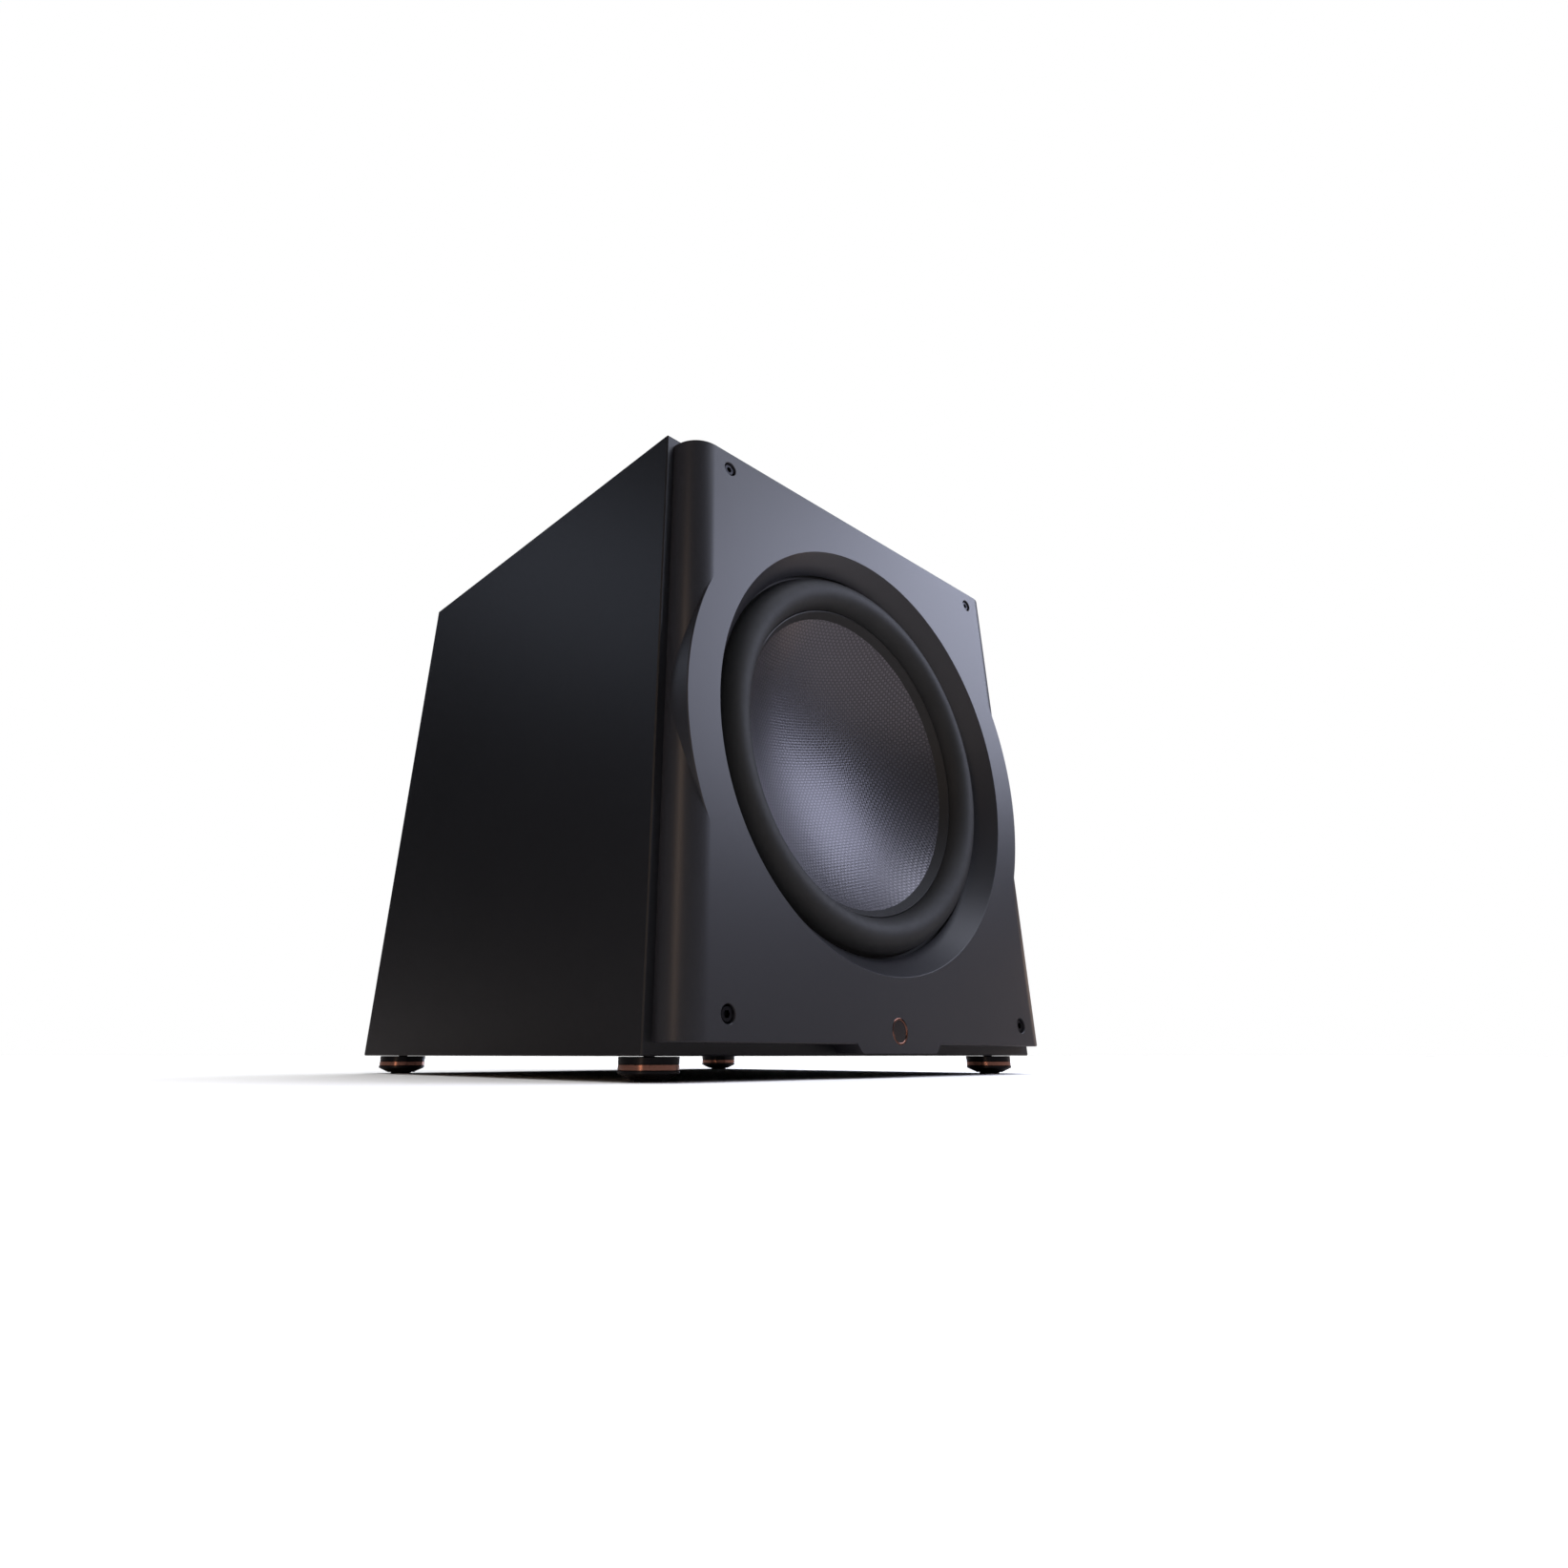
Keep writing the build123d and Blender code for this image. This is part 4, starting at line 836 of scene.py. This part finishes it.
class SUBWOOFER_OT_stage(bpy.types.Operator):
    """Make the floor, the lights and the camera"""

    bl_idname = "subwoofer.stage"
    bl_label = "Stage"

    def execute(self, context):
        scene = context.scene
        bm = bmesh.new()
        floor_reach = 12.0
        bmesh.ops.create_grid(bm, x_segments=8, y_segments=8, size=floor_reach)
        floor = finish_mesh(bm, "floor")
        # Matt and nearly white to the eye and to soft light, and darker and warmer in the object's gloss.
        pale = Finish("pale_floor", (0.9, 0.9, 0.9), 1.0, specular=0.0)
        cloud = pale.mix_colour(pale.noise(scale=2.0, detail=3.0), (0.92, 0.92, 0.925), (0.95, 0.95, 0.95))
        glossy = pale.nodes.new("ShaderNodeLightPath").outputs["Is Glossy Ray"]
        pale.paint(pale.mix_colour(glossy, cloud, (0.34, 0.305, 0.295)))
        floor.data.materials.append(pale.material)
        self.world(scene)
        self.lights(scene)
        self.camera(scene)
        return {"FINISHED"}

    def world(self, scene):
        """White behind the object, a high soft sky for its shadow, and dim in everything glossy."""
        world = bpy.data.worlds.new("studio")
        scene.world = world
        world.use_nodes = True
        nodes, links = world.node_tree.nodes, world.node_tree.links
        nodes.clear()
        out = nodes.new("ShaderNodeOutputWorld")
        path = nodes.new("ShaderNodeLightPath")
        direction = nodes.new("ShaderNodeSeparateXYZ")
        links.new(nodes.new("ShaderNodeTexCoord").outputs["Generated"], direction.inputs[0])

        # The sky is dark near the horizon, full near the top, and stronger on the right.
        sky_starts, sky_full, sky_strength, sky_lean = 0.35, 0.8, 1.75, 0.8
        rise = nodes.new("ShaderNodeMapRange")
        rise.interpolation_type = "SMOOTHSTEP"
        links.new(direction.outputs["Z"], rise.inputs["Value"])
        limits = {"From Min": sky_starts, "From Max": sky_full, "To Min": 0.0, "To Max": sky_strength}
        for socket, value in limits.items():
            rise.inputs[socket].default_value = value
        side = nodes.new("ShaderNodeMath")
        side.operation = "MULTIPLY_ADD"
        links.new(direction.outputs["X"], side.inputs[0])
        side.inputs[1].default_value = sky_lean
        side.inputs[2].default_value = 1.0
        strength = nodes.new("ShaderNodeMath")
        strength.operation = "MULTIPLY"
        links.new(rise.outputs["Result"], strength.inputs[0])
        links.new(side.outputs[0], strength.inputs[1])

        def background(colour, strength):
            node = nodes.new("ShaderNodeBackground")
            node.inputs["Color"].default_value = (*colour, 1.0)
            if isinstance(strength, float):
                node.inputs["Strength"].default_value = strength
            else:
                links.new(strength, node.inputs["Strength"])
            return node.outputs[0]

        def choose(factor, otherwise, chosen):
            node = nodes.new("ShaderNodeMixShader")
            links.new(factor, node.inputs["Fac"])
            links.new(otherwise, node.inputs[1])
            links.new(chosen, node.inputs[2])
            return node.outputs[0]

        dim = background((0.50, 0.54, 0.66), 0.03)
        sky = background((1.0, 1.0, 1.0), strength.outputs[0])
        white = background((1.0, 1.0, 1.0), 1.0)
        lit = choose(path.outputs["Is Diffuse Ray"], dim, sky)
        links.new(choose(path.outputs["Is Camera Ray"], lit, white), out.inputs["Surface"])
        world.cycles.sampling_method = "NONE"
        scene.view_settings.view_transform = "Standard"

    def lights(self, scene):
        """Soft boxes that face the middle of the object."""
        target = Vector((0.0, 0.0, 0.28))
        # Name, place, size across, size up, power and colour.
        boxes = (
            ("key_box", (1.78, -1.58, 1.5), 2.0, 1.3, 42.0, (0.75, 0.79, 1.0)),
            ("top_box", (0.7, -1.3, 2.5), 1.2, 1.0, 18.0, (0.80, 0.84, 1.0)),
            ("warm_low_box", (2.6, -0.55, 0.25), 0.7, 0.25, 1.6, (1.0, 0.72, 0.56)),
            ("left_back_box", (-2.4, 2.6, 2.3), 1.2, 0.8, 4.0, (0.72, 0.80, 1.0)),
            ("warm_strip", (-1.9, -0.9, 0.6), 0.22, 1.4, 4.5, (1.0, 0.70, 0.50)),
            ("rim_box", (2.4, 1.4, 0.7), 0.5, 1.6, 22.0, (0.70, 0.78, 1.0)),
            ("back_box", (1.2, 3.0, 1.5), 1.4, 1.0, 40.0, (0.92, 0.95, 1.0)),
        )
        for name, place, wide, tall, power, colour in boxes:
            data = bpy.data.lights.new(name, "AREA")
            data.shape = "RECTANGLE"
            data.size, data.size_y = wide, tall
            data.energy = power
            data.color = colour
            light = bpy.data.objects.new(name, data)
            light.location = place
            light.rotation_euler = (target - Vector(place)).to_track_quat("-Z", "Y").to_euler()
            scene.collection.objects.link(light)

    def camera(self, scene):
        """Low, close and to the left, looking up at the front."""
        left, distance, height = 0.5988, 0.4770, 0.0166
        yaw, pitch = radians(42.944), radians(25.04)
        data = bpy.data.cameras.new("view")
        data.sensor_width = 36.0
        data.lens = 19.435
        data.shift_x, data.shift_y = 0.03055, -0.0796
        data.clip_start, data.clip_end = 0.01, 60.0
        camera = bpy.data.objects.new("view", data)
        ahead = Vector((sin(yaw) * cos(pitch), cos(yaw) * cos(pitch), sin(pitch)))
        camera.location = (-left, FACE_Y - distance, height)
        camera.rotation_euler = ahead.to_track_quat("-Z", "Y").to_euler()
        scene.collection.objects.link(camera)
        scene.camera = camera


# ---------------------------------------------------------------- panel and registration
STEPS = (
    SUBWOOFER_OT_finishes,
    SUBWOOFER_OT_baffle,
    SUBWOOFER_OT_surround,
    SUBWOOFER_OT_spider,
    SUBWOOFER_OT_cone,
    SUBWOOFER_OT_knob_mark,
    SUBWOOFER_OT_stage,
)


class SUBWOOFER_PT_panel(bpy.types.Panel):
    """The steps that dress the subwoofer, and their settings"""

    bl_idname = "SUBWOOFER_PT_panel"
    bl_label = "Subwoofer"
    bl_space_type = "VIEW_3D"
    bl_region_type = "UI"
    bl_category = "Subwoofer"

    def draw(self, context):
        for group in (context.scene.subwoofer_sizes, context.scene.subwoofer_colours):
            box = self.layout.box()
            for name in group.bl_rna.properties.keys():
                if name not in ("rna_type", "name"):
                    box.prop(group, name)
        for step in STEPS:
            self.layout.operator(step.bl_idname)


CLASSES = (SubwooferSizes, SubwooferColours, *STEPS, SUBWOOFER_PT_panel)


def register():
    for cls in CLASSES:
        bpy.utils.register_class(cls)
    bpy.types.Scene.subwoofer_sizes = PointerProperty(type=SubwooferSizes)
    bpy.types.Scene.subwoofer_colours = PointerProperty(type=SubwooferColours)


def unregister():
    del bpy.types.Scene.subwoofer_colours
    del bpy.types.Scene.subwoofer_sizes
    for cls in reversed(CLASSES):
        bpy.utils.unregister_class(cls)


def main():
    register()
    for step in STEPS:
        group, name = step.bl_idname.split(".")
        getattr(getattr(bpy.ops, group), name)()


if __name__ == "__main__":
    main()
